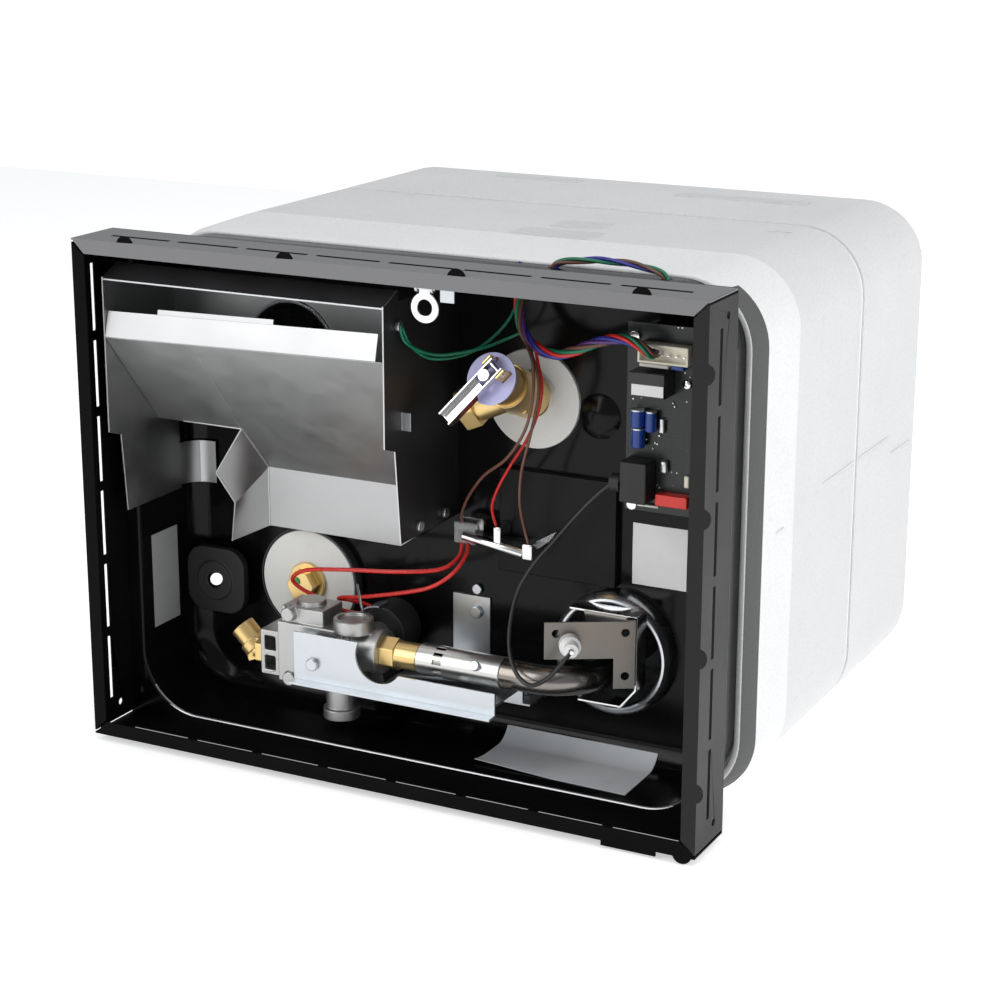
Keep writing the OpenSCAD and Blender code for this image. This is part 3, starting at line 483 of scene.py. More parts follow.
class Coat:
    """The finishes of this heater."""

    FRAME = Paint("frame_black", (0.009, 0.009, 0.0095), 0.42, 0.24, 0.04)
    # Painted shade: a darker, less shiny copy of the frame's black for the left and bottom strips and the
    # top strip's slots and tabs.
    FRAME_SHADE = Paint("frame_black_painted_shade", (0.0035, 0.0035, 0.0037), 0.4, 0.04, 0.01)
    # Painted sheen: the top strip's black is lightened to grey for the light that its lip catches, with
    # heavier dust specks on it.
    FRAME_TOP = Paint("frame_black_dust_and_painted_sheen", (0.18, 0.18, 0.184), 0.46, 0.5, 0.3)
    PAN = Paint("pan_black", (0.0035, 0.0035, 0.0038), 0.16, 0.16, 0.015)
    COVER = Paint("cover_black", (0.005, 0.005, 0.0053), 0.34, 0.16, 0.02)
    GALVANISED = Metal("galvanised", (0.4, 0.405, 0.41), 0.4, spangle=0.04, streak=0.05)
    DEFLECTOR = Metal("deflector_bright", (0.48, 0.485, 0.485), 0.42, spangle=0.03, streak=0.05)
    # Painted highlight: a bright copy of the galvanised sheet for the deflector's strip, its fold rods and
    # the flue box's back plate.
    STRIP = Metal("deflector_strip", (0.62, 0.625, 0.63), 0.45, spangle=0.02, streak=0.03)
    # Painted shade: a darker copy of the galvanised sheet for the flue box's left wall.
    WALL = Metal("galvanised_wall_painted_shade", (0.3, 0.303, 0.307), 0.42, spangle=0.05, streak=0.08)
    # Painted highlight: a bright metal finish on the black pan's lower rim, for the light line that it
    # catches.
    RIM = Metal("pan_rim_painted_highlight", (0.3, 0.3, 0.31), 0.22, streak=0.05)
    ELECTRODE = Metal("electrode_plate", (0.19, 0.183, 0.17), 0.38, streak=0.06, tint=0.2)
    # Painted shade: a darker copy of the galvanised sheet for the deflector's torn-back flaps.
    FLAP = Metal("deflector_flap", (0.27, 0.272, 0.272), 0.36, spangle=0.05, streak=0.08)
    ZINC = Metal("zinc_plate", (0.6, 0.63, 0.66), 0.34, streak=0.02)
    CAST = Metal("die_cast", (0.5, 0.5, 0.49), 0.42, grain=0.5)
    BRASS = Metal("brass", (0.78, 0.53, 0.17), 0.24, streak=0.06)
    HEATED = Metal("stainless_heated", (0.26, 0.245, 0.23), 0.26, streak=0.06, tint=0.45)
    BRUSHED = Metal("brushed_steel", (0.68, 0.67, 0.65), 0.3, streak=0.08)
    BRIGHT = Metal("bright_steel", (0.74, 0.74, 0.74), 0.14, streak=0.06)
    FLUE = Metal("flue_steel", (0.66, 0.68, 0.7), 0.28, streak=0.05)
    TANK = Metal("tank_aluminium", (0.62, 0.62, 0.63), 0.4, streak=0.1)
    COIL = Finish("coil_jacket", (0.025, 0.026, 0.028), 0.38)
    FOAM = Foam("bead_foam", (0.66, 0.665, 0.67), 0.72)
    FOAM_MARK = Foam("foam_mark", (0.85, 0.85, 0.85), 0.6, 2.4)
    # Painted light and painted shade: a paler copy of the foam for the faces ahead of the crease and a dark
    # one for the lip's right side.
    FOAM_LIT = Foam("bead_foam_painted_light", (0.77, 0.775, 0.78), 0.72)
    FOAM_DIM = Foam("bead_foam_painted_shade", (0.1, 0.1, 0.1), 0.72)
    TAPE = Finish("seam_tape", (0.88, 0.88, 0.885), 0.42)
    SEAL = Fibre("seal_disc", (0.86, 0.86, 0.83), 0.62, 0.25)
    CERAMIC = Finish("ceramic", (0.83, 0.82, 0.79), 0.3)
    TAG = Finish("tag_lavender", (0.5, 0.49, 0.79), 0.38)
    RUBBER = Finish("rubber_black", (0.014, 0.014, 0.015), 0.55)
    MOULDED = Finish("moulded_black", (0.016, 0.016, 0.018), 0.3)
    NYLON = Finish("nylon_white", (0.72, 0.7, 0.64), 0.42)
    RED_BLADE = Finish("blade_red", (0.72, 0.03, 0.018), 0.28)
    BLUE_CAN = Finish("can_blue", (0.012, 0.05, 0.26), 0.26)
    PAPER = Fibre("label_white", (0.82, 0.82, 0.81), 0.5, 0.1, (0.6, 0.6, 0.58), 0.2)
    GREY_LABEL = Fibre("label_grey", (0.32, 0.33, 0.33), 0.4, 0.1, (0.2, 0.2, 0.2), 0.3)
    CARD = Fibre("card_white", (0.78, 0.8, 0.82), 0.55, 0.2, (0.55, 0.57, 0.6), 0.3)
    BOARD = SolderMask("board_mask", (0.0045, 0.006, 0.006), 0.3)
    CAN_TOP = Metal("can_top", (0.7, 0.71, 0.72), 0.4, streak=0.04)
    CREAM = Finish("nylon_cream", (0.84, 0.8, 0.66), 0.4)
    COLLAR = Finish("collar_dark", (0.03, 0.03, 0.032), 0.5)
    # Painted shade: a dark copy of the galvanised sheet for the flue box's outer right and upper faces.
    SHADED = Metal("galvanised_painted_shade", (0.1, 0.1, 0.105), 0.5, spangle=0.03, streak=0.1)
    GREEN_DAB = Finish("paint_dab", (0.03, 0.3, 0.05), 0.35)
    CLEAR = Sleeve("sleeve_clear", (0.85, 0.86, 0.88), 0.12)
    GREEN = Insulation("lead_green", (0.004, 0.17, 0.085), 0.3, "wire_green")
    RED = Insulation("lead_red", (0.62, 0.02, 0.014), 0.28, "wire_red")
    BLUE = Insulation("lead_blue", (0.025, 0.03, 0.3), 0.3, "wire_purple")
    PURPLE = Insulation("lead_purple", (0.09, 0.03, 0.16), 0.3, "wire_purple")
    BROWN = Insulation("lead_brown", (0.15, 0.062, 0.04), 0.32, "wire_brown")
    BLACK = Insulation("lead_black", (0.012, 0.012, 0.012), 0.3, "wire_black")


class Bench:
    """Operator modelling, one piece at a time."""

    @staticmethod
    def clear() -> None:
        """Leaves edit mode and deselects everything."""
        if bpy.context.object is not None and bpy.context.object.mode != "OBJECT":
            bpy.ops.object.mode_set(mode="OBJECT")
        bpy.ops.object.select_all(action="DESELECT")

    @classmethod
    def take(cls, piece: Piece) -> Piece:
        """Selects one piece alone and makes it active."""
        cls.clear()
        piece.select_set(True)
        bpy.context.view_layer.objects.active = piece
        return piece

    @classmethod
    def settle(cls, name: str) -> Piece:
        """Names the active piece and puts its place into its mesh."""
        piece = bpy.context.object
        piece.name = piece.data.name = name
        bpy.ops.object.transform_apply(location=True, rotation=True, scale=True)
        return piece

    @classmethod
    def box(cls, name: str, low: Point, high: Point) -> Piece:
        """A cube primitive between two corners in millimetres.

        Args:
            name: Name of the piece.
            low: Lowest corner.
            high: Highest corner.

        Returns:
            The box.
        """
        cls.clear()
        a, b = at(*low), at(*high)
        bpy.ops.mesh.primitive_cube_add(size=1.0, location=(a + b) / 2, scale=b - a)
        return cls.settle(name)

    @classmethod
    def rod(cls, name: str, start: Point, end: Point, radius: float, sides: int = 32) -> Piece:
        """A cylinder primitive from one point to another, radius in millimetres.

        Args:
            name: Name of the piece.
            start: Middle of one end.
            end: Middle of the other.
            radius: Radius in millimetres.
            sides: Number of sides.

        Returns:
            The rod.
        """
        cls.clear()
        a, b = at(*start), at(*end)
        turn = (b - a).to_track_quat("Z", "Y").to_euler()
        bpy.ops.mesh.primitive_cylinder_add(
            vertices=sides, radius=radius * MM, depth=(b - a).length, location=(a + b) / 2, rotation=turn
        )
        return cls.settle(name)

    @classmethod
    def turned(
        cls, name: str, x: float, z: float, profile: Sequence[tuple[float, float]], sides: int = 72
    ) -> Piece:
        """A turned shell about a line that runs front to back.

        Args:
            name: Name of the piece.
            x: Place of the line in millimetres.
            z: Height of the line in millimetres.
            profile: Radius and depth of each ring in millimetres.
            sides: Number of sides.

        Returns:
            The shell.
        """
        cls.clear()
        radius, depth = profile[0]
        bpy.ops.mesh.primitive_circle_add(
            vertices=sides, radius=radius * MM, location=at(x, depth, z), rotation=(math.pi / 2, 0.0, 0.0)
        )
        piece = cls.settle(name)
        bpy.ops.object.mode_set(mode="EDIT")
        bpy.ops.mesh.select_all(action="SELECT")
        for wide, y in profile[1:]:
            bpy.ops.mesh.extrude_edges_move(TRANSFORM_OT_translate={"value": (0.0, (y - depth) * MM, 0.0)})
            bpy.ops.transform.resize(value=(wide / radius, 1.0, wide / radius), center_override=at(x, y, z))
            radius, depth = wide, y
        bpy.ops.mesh.select_all(action="SELECT")
        bpy.ops.mesh.normals_make_consistent(inside=False)
        bpy.ops.object.mode_set(mode="OBJECT")
        return piece

    @classmethod
    def sheet(
        cls, name: str, cells: tuple[int, int], place: Callable[[float, float], Point], thick: float
    ) -> Piece:
        """A thin sheet from a grid primitive.

        Args:
            name: Name of the piece.
            cells: Number of cells along each side.
            place: Takes two shares from 0 to 1 and gives a place in millimetres.
            thick: Thickness in millimetres.

        Returns:
            The sheet.
        """
        cls.clear()
        bpy.ops.mesh.primitive_grid_add(x_subdivisions=cells[0], y_subdivisions=cells[1], size=1.0)
        piece = cls.settle(name)
        for vert in piece.data.vertices:
            vert.co = at(*place(vert.co.x + 0.5, vert.co.y + 0.5))
        cls.modify(piece, "SOLIDIFY", thickness=thick * MM, offset=0.0)
        return cls.smooth(piece, 40.0)

    @classmethod
    def pick(cls, piece: Piece, kind: str, test: Test) -> None:
        """Enters edit mode and selects faces or edges by their place and direction.

        Args:
            piece: The piece.
            kind: "FACE" or "EDGE".
            test: Takes the middle, in metres, and a face's normal or an edge's direction.
        """
        cls.take(piece)
        bpy.ops.object.mode_set(mode="EDIT")
        bpy.ops.mesh.select_mode(type=kind)
        bpy.ops.mesh.select_all(action="DESELECT")
        mesh = bmesh.from_edit_mesh(piece.data)
        if kind == "FACE":
            for face in mesh.faces:
                face.select_set(test(face.calc_center_median(), face.normal))
        else:
            for edge in mesh.edges:
                a, b = (v.co for v in edge.verts)
                edge.select_set(test((a + b) / 2, (b - a).normalized()))
        mesh.select_flush_mode()
        bmesh.update_edit_mesh(piece.data)

    @classmethod
    def bevel(
        cls,
        piece: Piece,
        width: float,
        segments: int,
        test: Test = lambda middle, way: True,
    ) -> Piece:
        """Rounds the edges that pass the test, width in millimetres.

        Args:
            piece: The piece.
            width: Width in millimetres.
            segments: Steps of the rounding.
            test: Takes an edge's middle, in metres, and its direction.

        Returns:
            The piece.
        """
        cls.pick(piece, "EDGE", test)
        bpy.ops.mesh.bevel(
            offset=width * MM, segments=segments, profile=0.5, affect="EDGES", clamp_overlap=True
        )
        bpy.ops.object.mode_set(mode="OBJECT")
        return piece

    @classmethod
    def modify(cls, piece: Piece, kind: str, **settings: object) -> Piece:
        """Adds one modifier and applies it.

        Args:
            piece: The piece.
            kind: Blender's name of the modifier's type.
            settings: Its attributes.

        Returns:
            The piece.
        """
        cls.take(piece)
        modifier = piece.modifiers.new(kind.lower(), kind)
        for key, value in settings.items():
            setattr(modifier, key, value)
        bpy.ops.object.modifier_apply(modifier=modifier.name)
        return piece

    @classmethod
    def soften(cls, piece: Piece, width: float, angle: float, **settings: object) -> Piece:
        """Rounds every edge sharper than an angle in degrees, width in millimetres."""
        limit = {"limit_method": "ANGLE", "angle_limit": math.radians(angle), "harden_normals": True}
        return cls.modify(piece, "BEVEL", width=width * MM, segments=2, **limit, **settings)

    @classmethod
    def carve(cls, piece: Piece, cutter: Piece) -> Piece:
        """Cuts one piece with another, which is used up."""
        cls.modify(piece, "BOOLEAN", operation="DIFFERENCE", object=cutter, solver="EXACT")
        bpy.data.objects.remove(cutter)
        return piece

    @classmethod
    def join(cls, name: str, pieces: Sequence[Piece]) -> Piece:
        """Joins several pieces into one.

        Args:
            name: Name of the whole.
            pieces: The pieces.

        Returns:
            The whole.
        """
        cls.clear()
        for piece in pieces:
            piece.select_set(True)
        bpy.context.view_layer.objects.active = pieces[0]
        if len(pieces) > 1:
            bpy.ops.object.join()
        joined = bpy.context.object
        joined.name = joined.data.name = name
        return joined

    @classmethod
    def smooth(cls, piece: Piece, degrees: float = 32.0) -> Piece:
        """Shades a piece smooth, with edges sharper than the angle left crisp."""
        cls.take(piece)
        bpy.ops.object.shade_smooth_by_angle(angle=math.radians(degrees))
        return piece

    @classmethod
    def paint_faces(
        cls, piece: Piece, finishes: Sequence[Finish], choose: Callable[[Point, Vector], int]
    ) -> None:
        """Adds finishes to a piece and gives them to some of its faces.

        Args:
            piece: The piece.
            finishes: The finishes to add.
            choose: Takes a face's middle in millimetres and its normal, and gives its finish's number.
        """
        for finish in finishes:
            piece.data.materials.append(finish.material())
        for face in piece.data.polygons:
            number = choose(spot(face.center), face.normal)
            if number:
                face.material_index = number

    @classmethod
    def hand_over(
        cls, piece: Piece, finish: Finish, slot: str, *stands_for: str, body: Body = Body.HEATER
    ) -> Piece:
        """Gives a piece its finish and ties it to the frame.

        Args:
            piece: The finished piece.
            finish: Its finish.
            slot: The record's material slot; not used.
            stands_for: CAD nodes that it replaces.
            body: The body that it rides on.

        Returns:
            The piece.
        """
        if not piece.data.materials:
            piece.data.materials.append(finish.material())
        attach(piece, body.value)
        if stands_for:
            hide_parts(*stands_for)
        LOG.info("piece %s, %d faces", piece.name, len(piece.data.polygons))
        return piece

    @classmethod
    def block(
        cls,
        name: str,
        low: Point,
        high: Point,
        width: float,
        finish: Finish,
        slot: str,
        *stands_for: str,
        steps: int = 3,
        degrees: float = 50.0,
    ) -> None:
        """Makes one small block, corners and rounding in millimetres, and hands it over."""
        piece = cls.bevel(cls.box(name, low, high), width, steps)
        cls.hand_over(cls.smooth(piece, degrees), finish, slot, *stands_for)


class CadParts:
    """The CAD nodes that keep their shape, with softened edges and a finish."""

    FLAT = math.radians(0.4)

    def __init__(self, frame: dict) -> None:
        """Keeps the frame's nodes."""
        self.nodes = frame["nodes"]

    def paint(self, name: str, finish: Finish) -> None:
        """Gives a CAD node a finish as it is."""
        mesh = self.nodes[name].data
        mesh.materials.clear()
        mesh.materials.append(finish.material())

    def refine(
        self,
        name: str,
        finish: Finish,
        slot: str,
        edge: float = 0.3,
        body: Body = Body.HEATER,
        angle: float = 34.0,
        rounds: Sequence[tuple[float, Test]] = (),
        merge: bool = True,
    ) -> Piece:
        """Stands a merged copy with rounded edges in for a CAD node.

        Args:
            name: The node.
            finish: Its finish.
            slot: The record's material slot.
            edge: Width of the edge rounding in millimetres, 0 for none.
            body: The body that it rides on.
            angle: Edges sharper than this many degrees are rounded.
            rounds: Larger rounds, each a width in millimetres and a test of the edges that get it.
            merge: Whether flat faces are joined, which a slotted sheet can't have.

        Returns:
            The new piece.
        """
        node = self.nodes[name]
        piece = node.copy()
        piece.data = node.data.copy()
        for key in list(piece.keys()):
            del piece[key]
        piece.name = piece.data.name = name + "_fine"
        piece.parent = None
        bpy.context.scene.collection.objects.link(piece)
        Bench.take(piece)
        bpy.ops.object.mode_set(mode="EDIT")
        bpy.ops.mesh.select_all(action="SELECT")
        bpy.ops.mesh.remove_doubles(threshold=SAME)
        if merge:
            bpy.ops.mesh.dissolve_limited(angle_limit=self.FLAT)
        bpy.ops.object.mode_set(mode="OBJECT")
        if piece.data.has_custom_normals:
            bpy.ops.mesh.customdata_custom_splitnormals_clear()
        for width, test in rounds:
            Bench.bevel(piece, width, 5, test)
        Bench.smooth(piece, angle)
        if edge:
            Bench.soften(piece, edge, angle, use_clamp_overlap=False, miter_outer="MITER_ARC")
        piece.data.materials.clear()
        return Bench.hand_over(piece, finish, slot, name, body=body)


@dataclass(frozen=True)
class Route:
    """The line of a lead, as given points in millimetres."""

    points: tuple[Point, ...]

    def line(self, steps: int = 8) -> list[Vector]:
        """A smooth line through the points, in metres.

        Args:
            steps: Points between two of the route's points.

        Returns:
            The points in metres.
        """
        p = [at(*q) for q in self.points]
        found = []
        for i in range(len(p) - 1):
            a, b, c, d = p[max(i - 1, 0)], p[i], p[i + 1], p[min(i + 2, len(p) - 1)]
            for k in range(steps):
                t = k / steps
                bend, twist = 2 * a - 5 * b + 4 * c - d, 3 * b - a - 3 * c + d
                found.append(0.5 * (2 * b + (c - a) * t + bend * t**2 + twist * t**3))
        return found + [p[-1]]

    def twisted(self, away: float, pitch: float, phase: float, steps: int = 14) -> list[Vector]:
        """A line that winds round this one.

        Args:
            away: Distance from this line in millimetres.
            pitch: Length of one turn in millimetres.
            phase: Where the winding starts, in degrees.
            steps: Points between two of the route's points.

        Returns:
            The points in metres.
        """
        line = self.line(steps)
        side = Vector((0.0, 1.0, 0.0))
        gone = 0.0
        found = []
        for i, p in enumerate(line):
            way = (line[min(i + 1, len(line) - 1)] - line[max(i - 1, 0)]).normalized()
            side = (side - way * side.dot(way)).normalized()
            if i:
                gone += (p - line[i - 1]).length
            turn = math.radians(phase) + 2 * math.pi * gone / (pitch * MM)
            found.append(p + (side * math.cos(turn) + way.cross(side) * math.sin(turn)) * away * MM)
        return found


class Leads:
    """All the leads, each a smooth round tube."""

    TRUNK = Route(
        ((53, 84, 153), (54, 81, 138), (56, 77, 124), (61, 74, 113), (71, 71, 106), (84, 69, 104),
         (97, 67, 108), (110, 65, 114), (122, 63, 118), (133, 61, 119), (141, 61, 116), (145, 64, 112),
         (146, 69, 111))
    )
    GROUND = Route(
        ((6, 24, 122), (7, 28, 112), (11, 38, 105), (18, 48, 101), (29, 56, 102), (41, 63, 105),
         (52, 69, 110), (60, 73, 114))
    )
    EARTH = Route(
        ((6, 27, 120), (8, 34, 108), (14, 46, 99), (26, 58, 99), (36, 66, 104), (45, 73, 113), (51, 78, 123),
         (54, 81, 134))
    )
    SENSOR_A = Route(
        ((61, 73, 113), (66, 68, 107), (73, 61, 99), (76, 56, 85), (74, 55, 69), (68, 56, 55), (56, 60, 40),
         (38, 67, 26), (24, 75, 10), (16, 81, -3), (14.5, 84, -10.5))
    )
    SENSOR_B = Route(
        ((66, 72, 109), (70, 66, 103), (75, 62, 96), (78, 59, 84), (76, 58, 69), (71, 60, 52), (64, 65, 32),
         (60, 71, 12), (59, 78, -4), (60.5, 82, -17.5))
    )
    SENSOR_C = Route(
        ((70, 70, 106), (74, 66, 98), (78, 63, 86), (76, 62, 70), (68, 63, 52), (56, 67, 35), (45, 72, 18),
         (38.5, 77, 4), (38.5, 82, -8.5))
    )
    VALVE_A = Route(
        ((15, 83, -23.5), (15, 78, -31), (8, 68, -37), (-16, 60, -40), (-56, 58, -44), (-83, 60, -49),
         (-95, 63, -57), (-92, 67, -64), (-81, 71, -70), (-70, 76, -77), (-60, 79, -79), (-50.6, 80, -78))
    )
    VALVE_B = Route(
        ((19, 83, -23.5), (21, 76, -29), (17, 67, -38), (5, 63, -47), (-12, 62, -53), (-43, 62.5, -61),
         (-59, 65, -64.5), (-65, 69, -67.5), (-62, 75, -69.5), (-55, 80, -72), (-48.3, 82, -74.3))
    )
    IGNITION = Route(
        ((121, 70, 32.5), (110, 67, 22), (98, 64, 8), (86, 63, -7), (74, 62, -22), (66, 58, -38),
         (64, 52, -55), (67, 44, -70), (75, 37, -82), (86, 34, -87), (97, 34, -81), (105, 37, -71),
         (109, 40, -65))
    )
    TOP = Route(
        ((78, 76, 147), (78, 76, 153), (83, 77, 156.4), (97, 78, 158.6), (112, 78, 159.5), (130, 77, 158.8),
         (145, 75, 156.2), (150, 74, 153), (150, 74, 147))
    )

    def tube(self, name: str, line: Sequence[Vector], radius: float) -> Piece:
        """A round tube along a line, radius in millimetres.

        Args:
            name: Name of the lead.
            line: Its middle line in metres.
            radius: Radius in millimetres.

        Returns:
            The tube.
        """
        curve = bpy.data.curves.new(name, "CURVE")
        curve.dimensions = "3D"
        spline = curve.splines.new("POLY")
        spline.points.add(len(line) - 1)
        for point, place in zip(spline.points, line):
            point.co = (*place, 1.0)
        curve.bevel_depth = radius * MM
        curve.bevel_resolution = 3
        curve.use_fill_caps = True
        piece = bpy.data.objects.new(name, curve)
        bpy.context.scene.collection.objects.link(piece)
        Bench.take(piece)
        bpy.ops.object.convert(target="MESH")
        return Bench.smooth(bpy.context.object, 60.0)

    def bunch(
        self, node: str, prefix: str, route: Route, finishes: Sequence[Insulation], lay: Point
    ) -> None:
        """Makes the leads of one twisted bunch.

        Args:
            node: The CAD node that they stand for.
            prefix: Start of their names.
            route: The bunch's middle line.
            finishes: One finish for each lead.
            lay: Distance from the line, length of one turn and radius of a lead, in millimetres.
        """
        away, pitch, radius = lay
        for i, finish in enumerate(finishes):
            line = route.twisted(away, pitch, 360.0 * i / len(finishes))
            Bench.hand_over(self.tube(f"{prefix}_{finish.name}", line, radius), finish, finish.slot, node)

    def build(self) -> None:
        """Makes every lead and ties it to the frame."""
        thin, thick = 0.95, 1.3
        trunk = (Coat.GREEN, Coat.RED, Coat.BLUE, Coat.PURPLE, Coat.BROWN)
        self.bunch("harness", "harness", self.TRUNK, trunk, (1.9, 52.0, 1.25))
        for name, route, radius, finish, node in (
            ("ground_lead_a", self.GROUND, thin, Coat.GREEN, "ground_leads"),
            ("ground_lead_b", self.EARTH, thin, Coat.GREEN, "ground_leads"),
            ("sensor_lead_a", self.SENSOR_A, thin, Coat.BROWN, "sensor_leads"),
            ("sensor_lead_b", self.SENSOR_B, thin, Coat.BROWN, "sensor_leads"),
            ("sensor_lead_c", self.SENSOR_C, thin, Coat.RED, "sensor_leads"),
            ("valve_lead_a", self.VALVE_A, thick, Coat.RED, "valve_leads"),
            ("valve_lead_b", self.VALVE_B, thick, Coat.RED, "valve_leads"),
            ("ignition_wire", self.IGNITION, thick, Coat.BLACK, "ignition_lead"),
        ):
            Bench.hand_over(self.tube(name, route.line(), radius), finish, finish.slot, node)
        self.bunch("top_leads", "top", self.TOP, (Coat.GREEN, Coat.BROWN, Coat.BLUE), (1.2, 60.0, 1.1))


@dataclass
class FoamJacket:
    """The two foam shells round the tank and the band over their seam, in millimetres."""

    half_width: float = 204.0
    low: float = -163.0
    high: float = 157.0
    front: float = 82.0
    seam: float = 260.0
    back: float = 416.0
    corner: float = 42.0
    crease: float = 147.0
    band: float = 6.0
    groove: float = 1.0
    wall: float = 4.0
    lip: float = 14.0
    draw_in: float = 5.0
    lift: float = 3.0
    mouth_drop: float = 2.4
    lip_drop: float = 1.6
    coupling_x: float = -70.0
    coupling_z: float = 72.0
    coupling_hole: float = 15.4
    gas_hole: float = 9.0

    # Left, right, near and far side of each raised panel on the top.
    PANELS = (
        (-104, -39, 356, 366), (44, 137, 333, 348), (13, 66, 148, 174), (24, 57, 183, 209),
        (151, 166, 229, 231),
    )
    # Near end, far end and height of each mould line on the right.
    LINES = ((199, 255, 10), (265, 324, 10), (334, 372, -3), (118, 130, 0))

    @staticmethod
    def along(middle: Vector, way: Vector) -> bool:
        """True for an edge that runs front to back."""
        return abs(way.y) > 0.9

    def shell(self, name: str, front: float, back: float, test: Test) -> Piece:
        """A box between two depths, with the edges that pass the test rounded."""
        piece = Bench.box(name, (-self.half_width, front, self.low), (self.half_width, back, self.high))
        return Bench.bevel(piece, self.corner, 14, test)

    def tone(self, place: Point, normal: Vector) -> int:
        """Number of a front face's finish: painted shade on the lip's right, painted light as far as the
        crease.
        """
        if place[1] < self.front + self.lip + 0.5 and normal.x > 0.5:
            return 2
        return int(place[1] < self.crease + 0.5)

    def front_half(self) -> None:
        """The front shell, drawn in a little at its mouth, open where the pan goes in."""
        piece = self.shell("foam_front", self.front, self.seam - self.band / 2, self.along)
        for y in (self.front + self.lip, self.crease):
            Bench.pick(piece, "FACE", lambda middle, normal: True)
            bpy.ops.mesh.bisect(plane_co=at(0, y, 0), plane_no=(0, 1, 0))
        Bench.pick(piece, "EDGE", lambda middle, way: False)
        mesh = bmesh.from_edit_mesh(piece.data)
        mouth, lip = at(0, self.front, 0).y, at(0, self.front + self.lip, 0).y
        for vert in mesh.verts:
            pull = drop = 0.0
            if abs(vert.co.y - mouth) < SAME:
                pull, drop = self.draw_in, self.mouth_drop
            elif abs(vert.co.y - lip) < SAME:
                drop = self.lip_drop
            vert.co.x *= 1 - pull / self.half_width
            share = (vert.co.z / MM) / (self.high - self.low)
            vert.co.z += MM * (min(pull, self.lift) * (1 - share) - drop * share)
        bmesh.update_edit_mesh(piece.data)
        Bench.pick(piece, "FACE", lambda middle, normal: middle.y < mouth + 10 * SAME and normal.y < -0.9)
        bpy.ops.mesh.delete(type="FACE")
        bpy.ops.object.mode_set(mode="OBJECT")
        Bench.modify(piece, "SOLIDIFY", thickness=self.wall * MM, offset=-1.0)
        Bench.bevel(piece, 1.2, 3, lambda middle, way: middle.y < mouth + SAME and abs(way.y) < 0.5)
        SteelWork.sight(piece, self.gas_hole)
        Bench.smooth(piece, 24.0)
        # Painted light ahead of the crease, painted shade on the lip's right side.
        Bench.paint_faces(piece, (Coat.FOAM, Coat.FOAM_LIT, Coat.FOAM_DIM), self.tone)
        Bench.hand_over(piece, Coat.FOAM, "foam", "jacket_front")

    def rear_half(self) -> None:
        """The rear shell with its rounded back and the holes for the water couplings."""
        rim = at(0, self.back, 0).y - SAME
        piece = self.shell(
            "foam_rear",
            self.seam + self.band / 2,
            self.back,
            lambda middle, way: self.along(middle, way) or middle.y > rim,
        )
        for z in (-self.coupling_z, self.coupling_z):
            start, end = ((self.coupling_x, self.back + reach, z) for reach in (-40, 10))
            Bench.carve(piece, Bench.rod("hole", start, end, self.coupling_hole, 48))
        Bench.smooth(piece, 24.0)
        Bench.hand_over(piece, Coat.FOAM, "foam", "jacket_rear")

    def seam_band(self) -> None:
        """The smooth band laid in the groove at the seam."""
        reach = self.band / 2 - 0.2
        piece = self.shell("seam_band", self.seam - reach, self.seam + reach, self.along)
        half_height = (self.high - self.low) / 2
        for vert in piece.data.vertices:
            vert.co.x *= 1 - self.groove / self.half_width
            vert.co.z += (half_height * MM - vert.co.z) * self.groove / half_height
        Bench.bevel(piece, 1.0, 2, lambda middle, way: abs(way.y) < 0.5)
        Bench.hand_over(Bench.smooth(piece, 30.0), Coat.TAPE, "white_band", "seam_tape")

    def top(self, x: float, y: float) -> float:
        """Height of the jacket's top at one place, in millimetres."""
        over = max(0.0, abs(x) - (self.half_width - self.corner))
        dip = self.mouth_drop * max(0.0, self.crease - y) / (self.crease - self.front)
        return self.high - dip * 0.8 - (self.corner - math.sqrt(self.corner**2 - over**2))

    def panel(self, left: float, right: float, near: float, far: float) -> Piece:
        """One raised panel that follows the jacket's top.

        Args:
            left: Left side.
            right: Right side.
            near: Near side.
            far: Far side, all in millimetres.

        Returns:
            The panel.
        """

        def place(u: float, v: float) -> Point:
            """A place on the panel."""
            x, y = left + (right - left) * u, near + (far - near) * v
            return (x, y, self.top(x, y) + 0.05)

        return Bench.sheet("panel", (14, 6), place, 0.5)

    def marks(self) -> None:
        """Plain raised panels and mould lines, paler than the foam around them."""
        made = [self.panel(*sides) for sides in self.PANELS]
        for near, far, z in self.LINES:
            side = self.half_width
            line = Bench.box("line", (side - 0.4, near, z - 0.7), (side + 0.3, far, z + 0.7))
            made.append(Bench.bevel(line, 0.25, 2))
        Bench.hand_over(Bench.join("foam_marks", made), Coat.FOAM_MARK, "foam")

    def build(self) -> None:
        """Builds and dresses the jacket."""
        self.front_half()
        self.rear_half()
        self.seam_band()
        self.marks()


